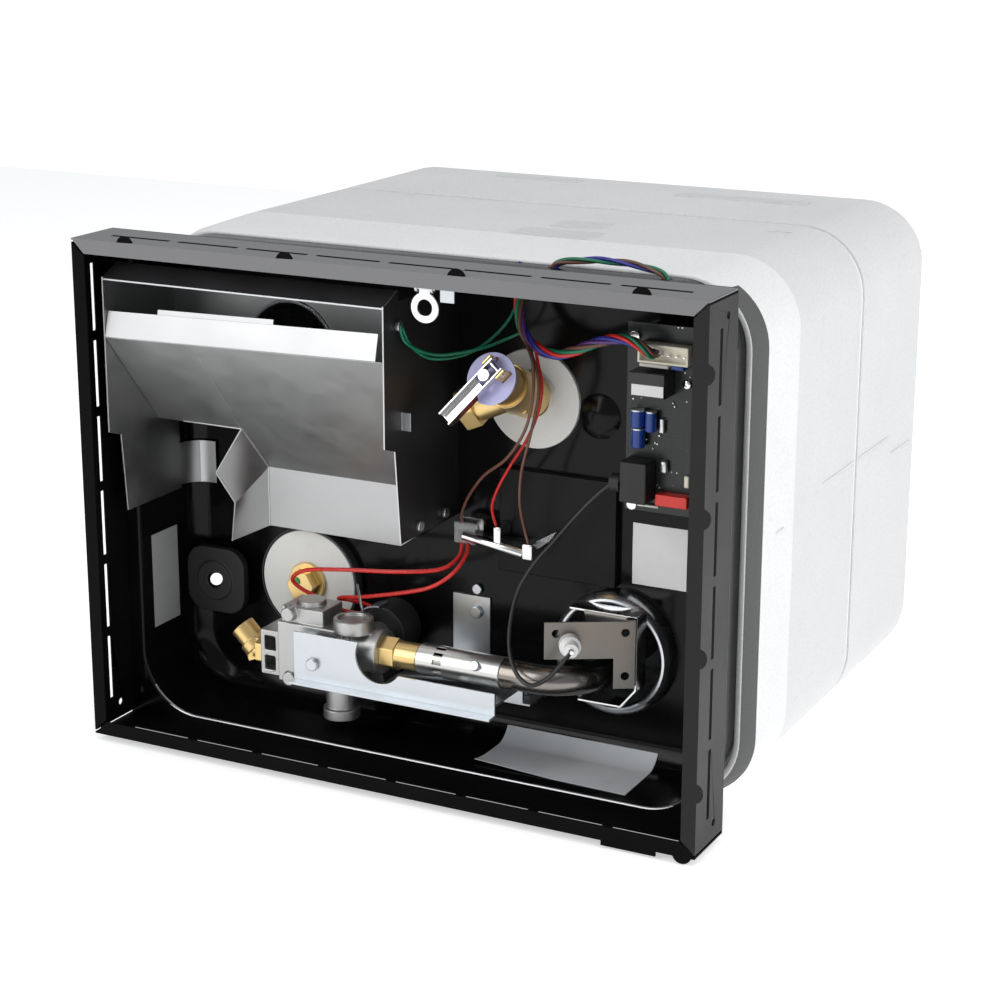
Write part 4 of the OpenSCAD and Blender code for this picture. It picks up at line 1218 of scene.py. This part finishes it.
class SteelWork:
    """Frame, pan, flue parts, gas train and fittings that keep their CAD shape."""

    GAS_LINE = ((-161.3, 76.0, -71.3), (-219.6, 161.0, -104.9))
    RECESS = (196.5, 154.5)
    RIM_DEPTH = 40.0
    RIM_ROUND = 3.0
    SLOTS = (15.0, 21.0)
    STRIP_TOP = 159.15
    # The left and bottom strips get the black with painted shade, the top strip the black with a painted
    # sheen.
    STRIPS = {
        "frame_bottom": Coat.FRAME_SHADE, "frame_left": Coat.FRAME_SHADE,
        "frame_right": Coat.FRAME, "frame_top": Coat.FRAME_TOP,
    }
    # Name, finish, slot and edge rounding in millimetres of each part that only gets softer edges.
    FITTINGS = (
        ("exhaust_flue", Coat.FLUE, "stainless", 0.3),
        ("water_couplings", Coat.TANK, "aluminium", 0.5),
        ("relief_body", Coat.BRASS, "brass", 0.5),
        ("relief_stem", Coat.BRIGHT, "stainless", 0.3),
        ("relief_tag", Coat.TAG, "tag", 0.25),
        ("relief_lever", Coat.BRIGHT, "chrome", 0.3),
        ("lever_pin", Coat.BRIGHT, "stainless", 0.3),
        ("port_seals", Coat.SEAL, "seal_foam", 0.8),
        ("drain_plug", Coat.BRASS, "brass", 0.5),
        ("gas_valve_body", Coat.CAST, "cast_grey", 0.9),
        ("valve_bracket", Coat.ZINC, "zinc", 0.3),
        ("inlet_elbow", Coat.BRASS, "brass", 0.4),
        ("solenoid_coils", Coat.COIL, "black_plastic", 0.6),
        ("gas_orifice", Coat.BRASS, "brass", 0.4),
        ("burner_tube", Coat.HEATED, "stainless", 0.15),
        ("air_shutter", Coat.BRUSHED, "stainless", 0.2),
        ("shutter_screw", Coat.ZINC, "zinc", 0.4),
        ("electrode_plate", Coat.ELECTRODE, "stainless", 0.25),
        ("burner_frame", Coat.BRIGHT, "stainless", 0.2),
        ("electrode_insulator", Coat.CERAMIC, "ceramic", 0.5),
        ("spark_electrode", Coat.BRIGHT, "stainless", 0.0),
        ("support_strap", Coat.ZINC, "zinc", 0.3),
        ("thermostat_cover", Coat.COVER, "pan_enamel", 0.8),
        ("gas_grommet", Coat.RUBBER, "black_rubber", 1.0),
        ("latch_bracket", Coat.ZINC, "zinc", 0.25),
        ("latch_ring", Coat.BRIGHT, "chrome", 0.5),
        ("panel_screws", Coat.ZINC, "zinc", 0.8),
        ("control_board", Coat.BOARD, "board", 0.0),
        ("board_relay", Coat.MOULDED, "black_plastic", 0.6),
        ("board_capacitors", Coat.BLUE_CAN, "blue_plastic", 0.6),
        ("ignition_coil", Coat.RUBBER, "black_plastic", 1.2),
        ("board_fuse", Coat.RED_BLADE, "red_plastic", 0.8),
        ("board_posts", Coat.BRIGHT, "stainless", 0.4),
    )
    MOVING = {
        "relief_stem": Body.STEM, "relief_lever": Body.LEVER, "latch_ring": Body.RING,
        "air_shutter": Body.SHUTTER, "shutter_screw": Body.SHUTTER,
    }
    HIDDEN = {
        Coat.TANK: ("water_tank", "flue_collector"),
        Coat.NYLON: ("dip_tube",),
        Coat.COIL: ("thermostats",),
        Coat.BRIGHT: ("relief_spring", "solenoid_springs", "solenoid_plungers"),
    }

    def __init__(self, parts: CadParts) -> None:
        """Keeps the CAD parts."""
        self.parts = parts

    @classmethod
    def sight(cls, piece: Piece, radius: float = 4.0) -> None:
        """Bores the gas line's slanted way through a piece."""
        Bench.carve(piece, Bench.rod("sight", *cls.GAS_LINE, radius, 40))

    def inside(self, place: Point) -> bool:
        """True within the outline of the pan's recess."""
        return abs(place[0]) < self.RECESS[0] and abs(place[2]) < self.RECESS[1]

    def on_rim(self, middle: Vector, way: Vector) -> bool:
        """True for an edge of the recess at the pan's front."""
        place = spot(middle)
        return abs(place[1] - self.RIM_DEPTH) < 0.2 and self.inside(place)

    def rim_tone(self, place: Point, normal: Vector) -> int:
        """1 on the lower run of the pan's rounded rim, which gets a painted highlight."""
        low = place[1] < self.RIM_DEPTH + self.RIM_ROUND + 0.5 and place[2] < -138.0 and self.inside(place)
        return int(low and normal.y < -0.3 and normal.z > 0.4)

    def strip_tone(self, place: Point, normal: Vector) -> int:
        """1 in the slots and on the tabs of the top strip, which get the darker black of painted shade
        instead of the top's painted sheen.
        """
        in_slot = self.SLOTS[0] < place[1] < self.SLOTS[1] and normal.z < 0.7
        return int(in_slot or (place[2] > self.STRIP_TOP and place[1] < 2.0))

    @staticmethod
    def box_tone(place: Point, normal: Vector) -> int:
        """1 on the flue box's outer right and upper faces and 2 on its left wall, both painted shade, 3 on
        its back plate, a painted highlight.

        Args:
            place: A face's middle in millimetres.
            normal: Its normal.

        Returns:
            Number of its finish.
        """
        if (normal.x > 0.9 and place[0] > 3.0) or normal.z > 0.9:
            return 1
        if normal.x > 0.5 and place[0] < -130.0:
            return 2
        return 3 if normal.y < -0.9 and place[1] > 60.0 else 0

    def build(self) -> None:
        """Refines each visible part and paints each hidden one."""
        refine = self.parts.refine
        for name, finish in self.STRIPS.items():
            strip = refine(name, finish, "frame_paint", 0.2, merge=False)
            if name == "frame_top":
                # The top strip's slots and tabs get the black with painted shade.
                Bench.paint_faces(strip, (Coat.FRAME_SHADE,), self.strip_tone)
        rounds = [(self.RIM_ROUND, self.on_rim)]
        pan = refine("front_pan", Coat.PAN, "pan_enamel", 0.0, angle=26.0, rounds=rounds)
        self.sight(pan)
        # The rim's lower run gets the painted highlight.
        Bench.paint_faces(pan, (Coat.RIM,), self.rim_tone)
        box = refine("flue_box", Coat.GALVANISED, "galvanised", 0.25, angle=16.0)
        # Painted shade on the outer right faces, upper faces and left wall, painted highlight on the back
        # plate.
        Bench.paint_faces(box, (Coat.SHADED, Coat.WALL, Coat.STRIP), self.box_tone)
        for name, finish, slot, edge in self.FITTINGS:
            piece = refine(name, finish, slot, edge, self.MOVING.get(name, Body.HEATER))
            if name == "gas_grommet":
                self.sight(piece)
        for finish, names in self.HIDDEN.items():
            for name in names:
                self.parts.paint(name, finish)


@dataclass
class FlueMouth:
    """The flared tube round the burner, the drain's collar and the plate over the upper coil."""

    flue_x: float = 112.0
    flue_z: float = -82.0
    drain_x: float = -102.0
    drain_z: float = -69.0
    coil_x: float = -36.0
    coil_z: float = -86.0
    coil_reach: float = 17.5
    dab: Point = (-104.5, 82.0, -66.0)

    # Radius and depth of each ring.
    TUBE = (
        (32.9, 324.0), (34.5, 324.0), (34.5, 99.6), (39.5, 99.6), (39.3, 96.0), (38.6, 92.6), (37.2, 90.0),
        (35.6, 88.5), (34.2, 88.2), (33.1, 88.8), (32.6, 90.2), (32.9, 96.0), (32.9, 324.0),
    )
    COLLAR = (
        (36.0, 100.0), (36.0, 94.0), (35.6, 93.4), (34.9, 93.4), (34.6, 94.0), (34.6, 100.0), (36.0, 100.0)
    )

    def on_band(self, u: float, v: float) -> Point:
        """A place on the bent plate, by its share of the bend and of the depth."""
        turn = math.radians(172 - 84 * u)
        reach = self.coil_reach + 1.6 * max(0.0, 0.3 - v)
        return (self.coil_x + reach * math.cos(turn), 67.5 + 13 * v, self.coil_z + reach * math.sin(turn))

    def build(self) -> None:
        """Builds the tube, the collar, a dab of paint on the drain plug and the plate."""
        tube = Bench.turned("flue_mouth", self.flue_x, self.flue_z, self.TUBE, 96)
        Bench.hand_over(Bench.smooth(tube, 30.0), Coat.FLUE, "stainless", "burner_flue")
        ring = Bench.turned("drain_collar", self.drain_x, self.drain_z, self.COLLAR, 72)
        Bench.hand_over(Bench.smooth(ring, 40.0), Coat.COLLAR, "black_rubber")
        x, y, z = self.dab
        dab = Bench.bevel(Bench.rod("plug_dab", self.dab, (x, y - 0.6, z), 3.0, 20), 0.4, 2)
        Bench.hand_over(Bench.smooth(dab, 40.0), Coat.GREEN_DAB, "brass")
        Bench.hand_over(Bench.sheet("pole_band", (20, 6), self.on_band, 1.0), Coat.ZINC, "zinc")


@dataclass
class Deflector:
    """The bent sheet in the flue box: strip with a painted highlight, long slope, apron and two torn-back
    flaps in painted shade.
    """

    left: float = -191.3
    right: float = 2.3
    front: float = 10.0
    notch: float = -129.0
    strip_right: float = -2.0
    strip_width: float = 15.5
    low: float = 98.0
    rise: float = 4.5
    lean: float = 4.0
    knee: float = 52.0
    knee_z: float = 36.0
    depth: float = 77.0
    sill: float = 6.0
    hem: float = -33.0
    thick: float = 0.9
    fold: float = 0.55

    def patch(self, corners: Sequence[Point], sag: float = 0.0, cells: tuple[int, int] = (16, 10)) -> Piece:
        """One bent sheet between four corners, with its own edges softened.

        Args:
            corners: The corners in order round the sheet, in millimetres.
            sag: How far the middle stands forward, in millimetres.
            cells: Cells along the first and second side.

        Returns:
            The sheet.
        """
        a, b, c, d = (Vector(corner) for corner in corners)

        def place(u: float, v: float) -> Point:
            """A place on the sheet."""
            p = (a * (1 - u) + b * u) * (1 - v) + (d * (1 - u) + c * u) * v
            p.y -= sag * 16 * u * (1 - u) * v * (1 - v)
            return tuple(p)

        return Bench.soften(Bench.sheet("patch", cells, place, self.thick), 0.22, 60.0)

    def build(self) -> None:
        """Builds the sheets, joins those of one finish and lays rods along the torn edges as rounded folds,
        painted bright as highlights.
        """
        left, right, notch, end, low = self.left, self.right, self.notch, self.strip_right, self.low
        high = low + self.rise
        front, knee, deep = self.front, self.front + self.knee, self.front + self.depth
        back = front + self.lean
        at_notch = low + self.rise * (notch - left) / (end - left)
        tear, bend, sill, hem = notch + 3, self.knee_z, self.sill, self.hem
        upper, tip, lower = (-149, knee, 5), (-142, knee + 10, -16), (-149, knee + 16, -44)
        strip = (
            self.patch(
                ((left, front, low), (end, front, high), (end, back, high + self.strip_width),
                 (left, back, low + self.strip_width)), 0.3
            ),
            self.patch(
                ((-155, back, low + 15), (-73, back, low + 17), (-73, back + 0.8, low + 21.3),
                 (-155, back + 0.8, low + 19.4))
            ),
        )
        slopes = (
            self.patch(
                ((left, front, low), (notch, front, at_notch), (notch, knee, bend), (left, knee, bend))
            ),
            self.patch(
                ((notch, front, at_notch), (right, front, high), (right, deep, sill), (notch, deep, sill)),
                0.8, (30, 20)
            ),
            self.patch(
                ((notch + 2, deep, sill), (-30, deep, 6.2), (-30, deep, hem), (notch + 2, deep, hem)), 0.6
            ),
            self.patch(((-30, deep, 6.2), (right, deep, 6.4), (right, deep, -10), (-30, deep, hem))),
        )
        flaps = (
            self.patch(((notch, knee + 1, bend), (tear, deep, sill), tip, upper), 1.2),
            self.patch(((tear, deep, sill), (tear, deep, hem), lower, tip), 0.8),
        )
        torn = (
            ((-172, knee - 0.4, bend), (notch, knee - 0.4, bend), (-149, knee - 0.4, 5),
             (-142, knee + 9.4, -16), (-149, knee + 15.4, -44)),
            ((notch, knee, bend), (tear, deep - 0.6, sill), (tear, deep - 0.6, hem)),
        )
        folds = [Bench.rod("fold", *ends, self.fold, 10) for line in torn for ends in zip(line, line[1:])]
        for name, made, finish in (
            ("deflector_strip", strip, Coat.STRIP),
            ("deflector", slopes, Coat.DEFLECTOR),
            ("deflector_flaps", flaps, Coat.FLAP),
        ):
            Bench.hand_over(Bench.join(name, made), finish, "galvanised", "flue_deflector")
        # The fold rods get the strip's bright finish, a painted highlight.
        piece = Bench.smooth(Bench.join("deflector_fold_highlights", folds), 40.0)
        Bench.hand_over(piece, Coat.STRIP, "galvanised", "flue_deflector")


@dataclass
class Papers:
    """The blank card on the pan's floor and the blank labels, in millimetres."""

    floor: float = -152.0
    panel: float = 100.0
    wall: float = -194.0
    relay: float = 62.88
    round_y: float = 84.0
    round_z: float = -136.0
    card_left: float = 39.0
    card_width: float = 102.0
    card_front: float = 53.1
    card_skew: float = 3.7
    card_gap: float = 0.4

    def on_card(self, u: float, v: float) -> Point:
        """A place on the card, which lies on the floor and runs up the pan's round.

        Args:
            u: Share of the width.
            v: Share of the length, from the front.

        Returns:
            The place in millimetres.
        """
        x = self.card_left + self.card_width * u
        front = self.card_front - self.card_skew * u
        rest = self.round_z - self.floor - self.card_gap
        flat = self.round_y - front
        gone = v * (flat + 1.1 * rest)
        if gone < flat:
            corner = 2.2 * max(0.0, 1 - v / 0.35) ** 2 * max(0.0, 1 - u / 0.5)
            wave = 0.5 * math.sin(3.0 * u) ** 2 * v
            return (x, front + gone, self.floor + self.card_gap + (corner + wave))
        turn = (gone - flat) / rest
        return (x, self.round_y + rest * math.sin(turn), self.round_z - rest * math.cos(turn))

    def on_panel(self, u: float, v: float) -> Point:
        """A place on the slightly wavy label under the board."""
        return (121 + 35 * u, self.panel - 0.2 - 0.25 * math.sin(4 * u + 3 * v) ** 2, -38 + 38 * v)

    def on_wall(self, u: float, v: float) -> Point:
        """A place on the label on the pan's left wall."""
        return (self.wall + 0.3, 80 - 28 * u, -102 + 62 * v)

    def on_relay(self, u: float, v: float) -> Point:
        """A place on the relay's label."""
        return (134.4 + 19.6 * u, self.relay, 87.4 + 6.3 * v)

    def build(self) -> None:
        """Lays the card and the labels."""
        sheets = (
            ("card", (40, 24), self.on_card, 0.35, Coat.CARD, ("labels",)),
            ("panel_label", (10, 10), self.on_panel, 0.25, Coat.PAPER, ("labels",)),
            ("side_label", (8, 12), self.on_wall, 0.3, Coat.GREY_LABEL, ("labels",)),
            ("relay_label", (6, 4), self.on_relay, 0.2, Coat.PAPER, ()),
        )
        for name, cells, place, thick, finish, nodes in sheets:
            Bench.hand_over(Bench.sheet(name, cells, place, thick), finish, "paper", *nodes)


class BoardParts:
    """Small parts of the control board: connector, can tops, crystal, links and solder."""

    FACE = 77.9
    PINS = 6
    PIN_PITCH = 4.8
    # Middle and radius of each can's top, and place and radius of each solder joint.
    CANS = ((134, 73.4, 76, 4.1), (142, 74.2, 75.5, 3.3), (134.5, 73.6, 65, 3.9))
    JOINTS = (
        (154, 81.4, 0.9), (155.1, 79.4, 1.0), (146, 61.3, 1.2), (143.4, 56.6, 0.9), (137.8, 58.1, 0.8),
        (142.1, 53, 0.7), (164, 97.6, 0.7), (168, 60, 0.5), (176, 64, 0.5), (172, 78, 0.5), (178, 52, 0.5),
    )
    # Name, corners, edge rounding, finish and slot of each small block.
    HEADER_BLOCKS = (
        ("header_strip", (136.4, 68.4, 102.8), (154.2, 77.9, 104.8), 0.5, Coat.NYLON, "white_plastic"),
        ("header_key", (155.4, 69.6, 102.4), (163.0, 77.9, 104.8), 0.5, Coat.BLUE_CAN, "blue_plastic"),
    )
    BLOCKS = (
        ("crystal", (146.3, 75.0, 62.9), (149.8, 78.0, 72.0), 1.3, Coat.CAN_TOP, "aluminium"),
        ("choke", (147.6, 74.4, 39.6), (152.4, 78.0, 47.2), 1.7, Coat.CAN_TOP, "aluminium"),
        ("resistor", (162.6, 75.4, 32.7), (165.6, 78.0, 39.7), 0.8, Coat.CREAM, "white_plastic"),
        ("link", (134.0, 75.0, 18.4), (147.0, 76.0, 19.8), 0.4, Coat.NYLON, "white_plastic"),
    )
    SCREW = ((2.9, 78.0), (2.9, 76.6), (2.2, 75.7), (1.1, 75.4), (1.0, 75.9), (0.05, 75.9))

    def connector(self) -> None:
        """The cream header, open at the front, with its pins."""
        piece = Bench.box("header", (135, 69, 105), (166, 78, 116))
        Bench.pick(piece, "FACE", lambda middle, normal: normal.y < -0.9)
        bpy.ops.mesh.inset(thickness=1.3 * MM)
        bpy.ops.mesh.extrude_region_move(TRANSFORM_OT_translate={"value": (0.0, 4.5 * MM, 0.0)})
        bpy.ops.object.mode_set(mode="OBJECT")
        Bench.modify(piece, "BEVEL", width=0.35 * MM, segments=2, limit_method="ANGLE")
        Bench.hand_over(Bench.smooth(piece, 40.0), Coat.CREAM, "white_plastic", "board_connector")
        pins = []
        for i in range(self.PINS):
            x = 138.2 + self.PIN_PITCH * i
            pins.append(Bench.bevel(Bench.box("pin", (x, 70.2, 109.2), (x + 1.4, 74.0, 110.6)), 0.3, 2))
        Bench.hand_over(Bench.join("header_pins", pins), Coat.BRIGHT, "stainless")

    def tops(self) -> None:
        """Bright crimped tops of the three cans."""
        made = []
        for x, y, z, radius in self.CANS:
            top = Bench.rod("top", (x, y, z - 0.4), (x, y, z + 0.5), radius, 28)
            Bench.pick(top, "FACE", lambda middle, normal: normal.z > 0.9)
            bpy.ops.mesh.inset(thickness=0.7 * MM)
            bpy.ops.transform.translate(value=(0.0, 0.0, -0.3 * MM))
            bpy.ops.object.mode_set(mode="OBJECT")
            made.append(top)
        Bench.hand_over(Bench.smooth(Bench.join("can_tops", made), 40.0), Coat.CAN_TOP, "aluminium")

    def solder(self) -> None:
        """Solder joints, as low domes on the board."""
        made = []
        for x, z, radius in self.JOINTS:
            Bench.clear()
            bpy.ops.mesh.primitive_uv_sphere_add(
                segments=14, ring_count=8, radius=radius * MM, location=at(x, self.FACE, z)
            )
            made.append(Bench.settle("joint"))
        Bench.hand_over(Bench.smooth(Bench.join("solder_joints", made), 60.0), Coat.BRIGHT, "stainless")

    def build(self) -> None:
        """Builds all the small parts."""
        self.connector()
        for block in self.HEADER_BLOCKS:
            Bench.block(*block)
        self.tops()
        self.solder()
        for block in self.BLOCKS:
            Bench.block(*block)
        head = Bench.turned("board_screw", 162.8, 93.2, self.SCREW, 28)
        Bench.hand_over(Bench.smooth(head, 35.0), Coat.BRIGHT, "stainless")


class FuseClip:
    """The thermal fuse: a bright tube between two terminals on the black cover."""

    NODE = "thermal_fuse"
    SLOT = "clear_sleeve"
    CLIPS = (((37.5, 80.0, -24.0), (42.5, 95.0, -9.0)), ((57, 79.5, -27), (64, 95, -17)))

    @staticmethod
    def on_strip(u: float, v: float) -> Point:
        """A place on the clear strip at the tube's right end."""
        return (61 + 12 * u + 4 * v * u, 88 - 2 * u, -24 + 6 * v + 9.5 * u)

    def build(self) -> None:
        """Builds the tube, its terminals and the strip."""
        tube = Bench.rod("tube", (16, 82, -18), (57.6, 82, -23.8), 3.0, 36)
        made = [Bench.bevel(tube, 0.8, 3, lambda middle, way: abs(way.x) < 0.7)]
        made += [Bench.bevel(Bench.box("clip", *corners), 0.9, 3) for corners in self.CLIPS]
        tube = Bench.smooth(Bench.join("fuse_tube", made), 40.0)
        Bench.hand_over(tube, Coat.BRIGHT, self.SLOT, self.NODE)
        clear, black = Coat.CLEAR, Coat.COVER
        low, high = (9, 82.5, -24), (24, 95, -10)
        Bench.block("fuse_terminal", low, high, 1.4, clear, self.SLOT, self.NODE, degrees=40.0)
        low, high = (9, 93, -22), (66, 95, -18)
        Bench.block("fuse_rail", low, high, 0.5, black, "black_plastic", self.NODE, steps=2, degrees=40.0)
        Bench.hand_over(Bench.sheet("fuse_strip", (8, 4), self.on_strip, 1.0), clear, self.SLOT, self.NODE)


@dataclass
class Studio:
    """Camera, floor and soft lights."""

    lens: float = 83.72
    sensor: float = 36.0
    azimuth: float = 27.12
    height: float = 16.247
    roll: float = 0.129
    aim: Point = (74.121, 22.296, 1346.676)
    middle: Point = (0.0, 0.0, 0.16)

    def camera(self) -> None:
        """Stands the camera where the photograph was taken."""
        a, e, r = (math.radians(x) for x in (self.azimuth, self.height, self.roll))
        back = Vector((math.sin(a) * math.cos(e), -math.cos(a) * math.cos(e), math.sin(e)))
        level = Vector((math.cos(a), math.sin(a), 0.0))
        rise = back.cross(level)
        right = level * math.cos(r) + rise * math.sin(r)
        up = rise * math.cos(r) - level * math.sin(r)
        place = right * self.aim[0] + up * self.aim[1] + back * self.aim[2]
        data = bpy.data.cameras.new("camera")
        data.lens = self.lens
        data.sensor_width = self.sensor
        data.clip_end = 50.0
        view = bpy.data.objects.new("camera", data)
        bpy.context.scene.collection.objects.link(view)
        turn = Matrix((right, up, back)).transposed().to_4x4()
        view.matrix_world = Matrix.Translation(at(*place)) @ turn
        bpy.context.scene.camera = view

    def floor(self) -> None:
        """A flat pale floor that glows a little, so that it meets the white room without a line."""
        Bench.clear()
        bpy.ops.mesh.primitive_plane_add(size=4.0, location=(0.0, -0.2, -0.0005))
        floor = Bench.settle("floor")
        shade = Shade("floor_pale")
        shade.set(
            Base_Color=shade.mix(shade.noise(400.0, 2.0), (0.88, 0.88, 0.88), (0.92, 0.92, 0.92)),
            Roughness=0.7,
            Emission_Color=(1.0, 1.0, 1.0),
            Emission_Strength=0.5,
        )
        floor.data.materials.append(shade.material)

    def lamp(self, name: str, place: Point, size: tuple[float, float], power: float) -> None:
        """One area light that faces the heater's middle, in metres and watts.

        Args:
            name: Name of the light.
            place: Its place.
            size: Its width and height.
            power: Its watts.
        """
        data = bpy.data.lights.new(name, "AREA")
        data.shape = "RECTANGLE"
        data.size, data.size_y = size
        data.energy = power
        lamp = bpy.data.objects.new(name, data)
        bpy.context.scene.collection.objects.link(lamp)
        lamp.location = place
        lamp.rotation_euler = (Vector(place) - Vector(self.middle)).to_track_quat("Z", "Y").to_euler()

    def light(self) -> None:
        """A white room that lights evenly, with soft boxes above, on the right and at the front left."""
        scene = bpy.context.scene
        scene.world = bpy.data.worlds.new("room")
        scene.world.use_nodes = True
        nodes, links = scene.world.node_tree.nodes, scene.world.node_tree.links
        nodes.clear()
        out, mix = nodes.new("ShaderNodeOutputWorld"), nodes.new("ShaderNodeMixShader")
        lit, seen = ((0.95, 0.97, 1.0), 0.4), ((1.0, 1.0, 1.0), 1.05)
        for i, (tone, strength) in enumerate((lit, seen), 1):
            room = nodes.new("ShaderNodeBackground")
            room.inputs[0].default_value = (*tone, 1.0)
            room.inputs[1].default_value = strength
            links.new(room.outputs[0], mix.inputs[i])
        links.new(nodes.new("ShaderNodeLightPath").outputs["Is Camera Ray"], mix.inputs[0])
        links.new(mix.outputs[0], out.inputs[0])
        self.lamp("key_above", (0.3, 0.2, 2.2), (2.4, 2.0), 18.0)
        self.lamp("side_right", (2.2, -0.4, 1.0), (1.4, 1.6), 24.0)
        self.lamp("front_left", (-0.85, -1.7, 1.05), (0.8, 1.7), 13.0)
        scene.view_settings.view_transform = "Standard"
        scene.view_settings.look = "None"

    def build(self) -> None:
        """Sets the stage."""
        self.camera()
        self.floor()
        self.light()


def main() -> None:
    """Builds the studio, the leads and every dressed part."""
    logging.basicConfig(level=logging.INFO, format="%(name)s: %(message)s")
    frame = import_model()
    Studio().build()
    Leads().build()
    SteelWork(CadParts(frame)).build()
    FlueMouth().build()
    Deflector().build()
    Papers().build()
    BoardParts().build()
    FuseClip().build()
    FoamJacket().build()


if __name__ == "__main__":
    main()
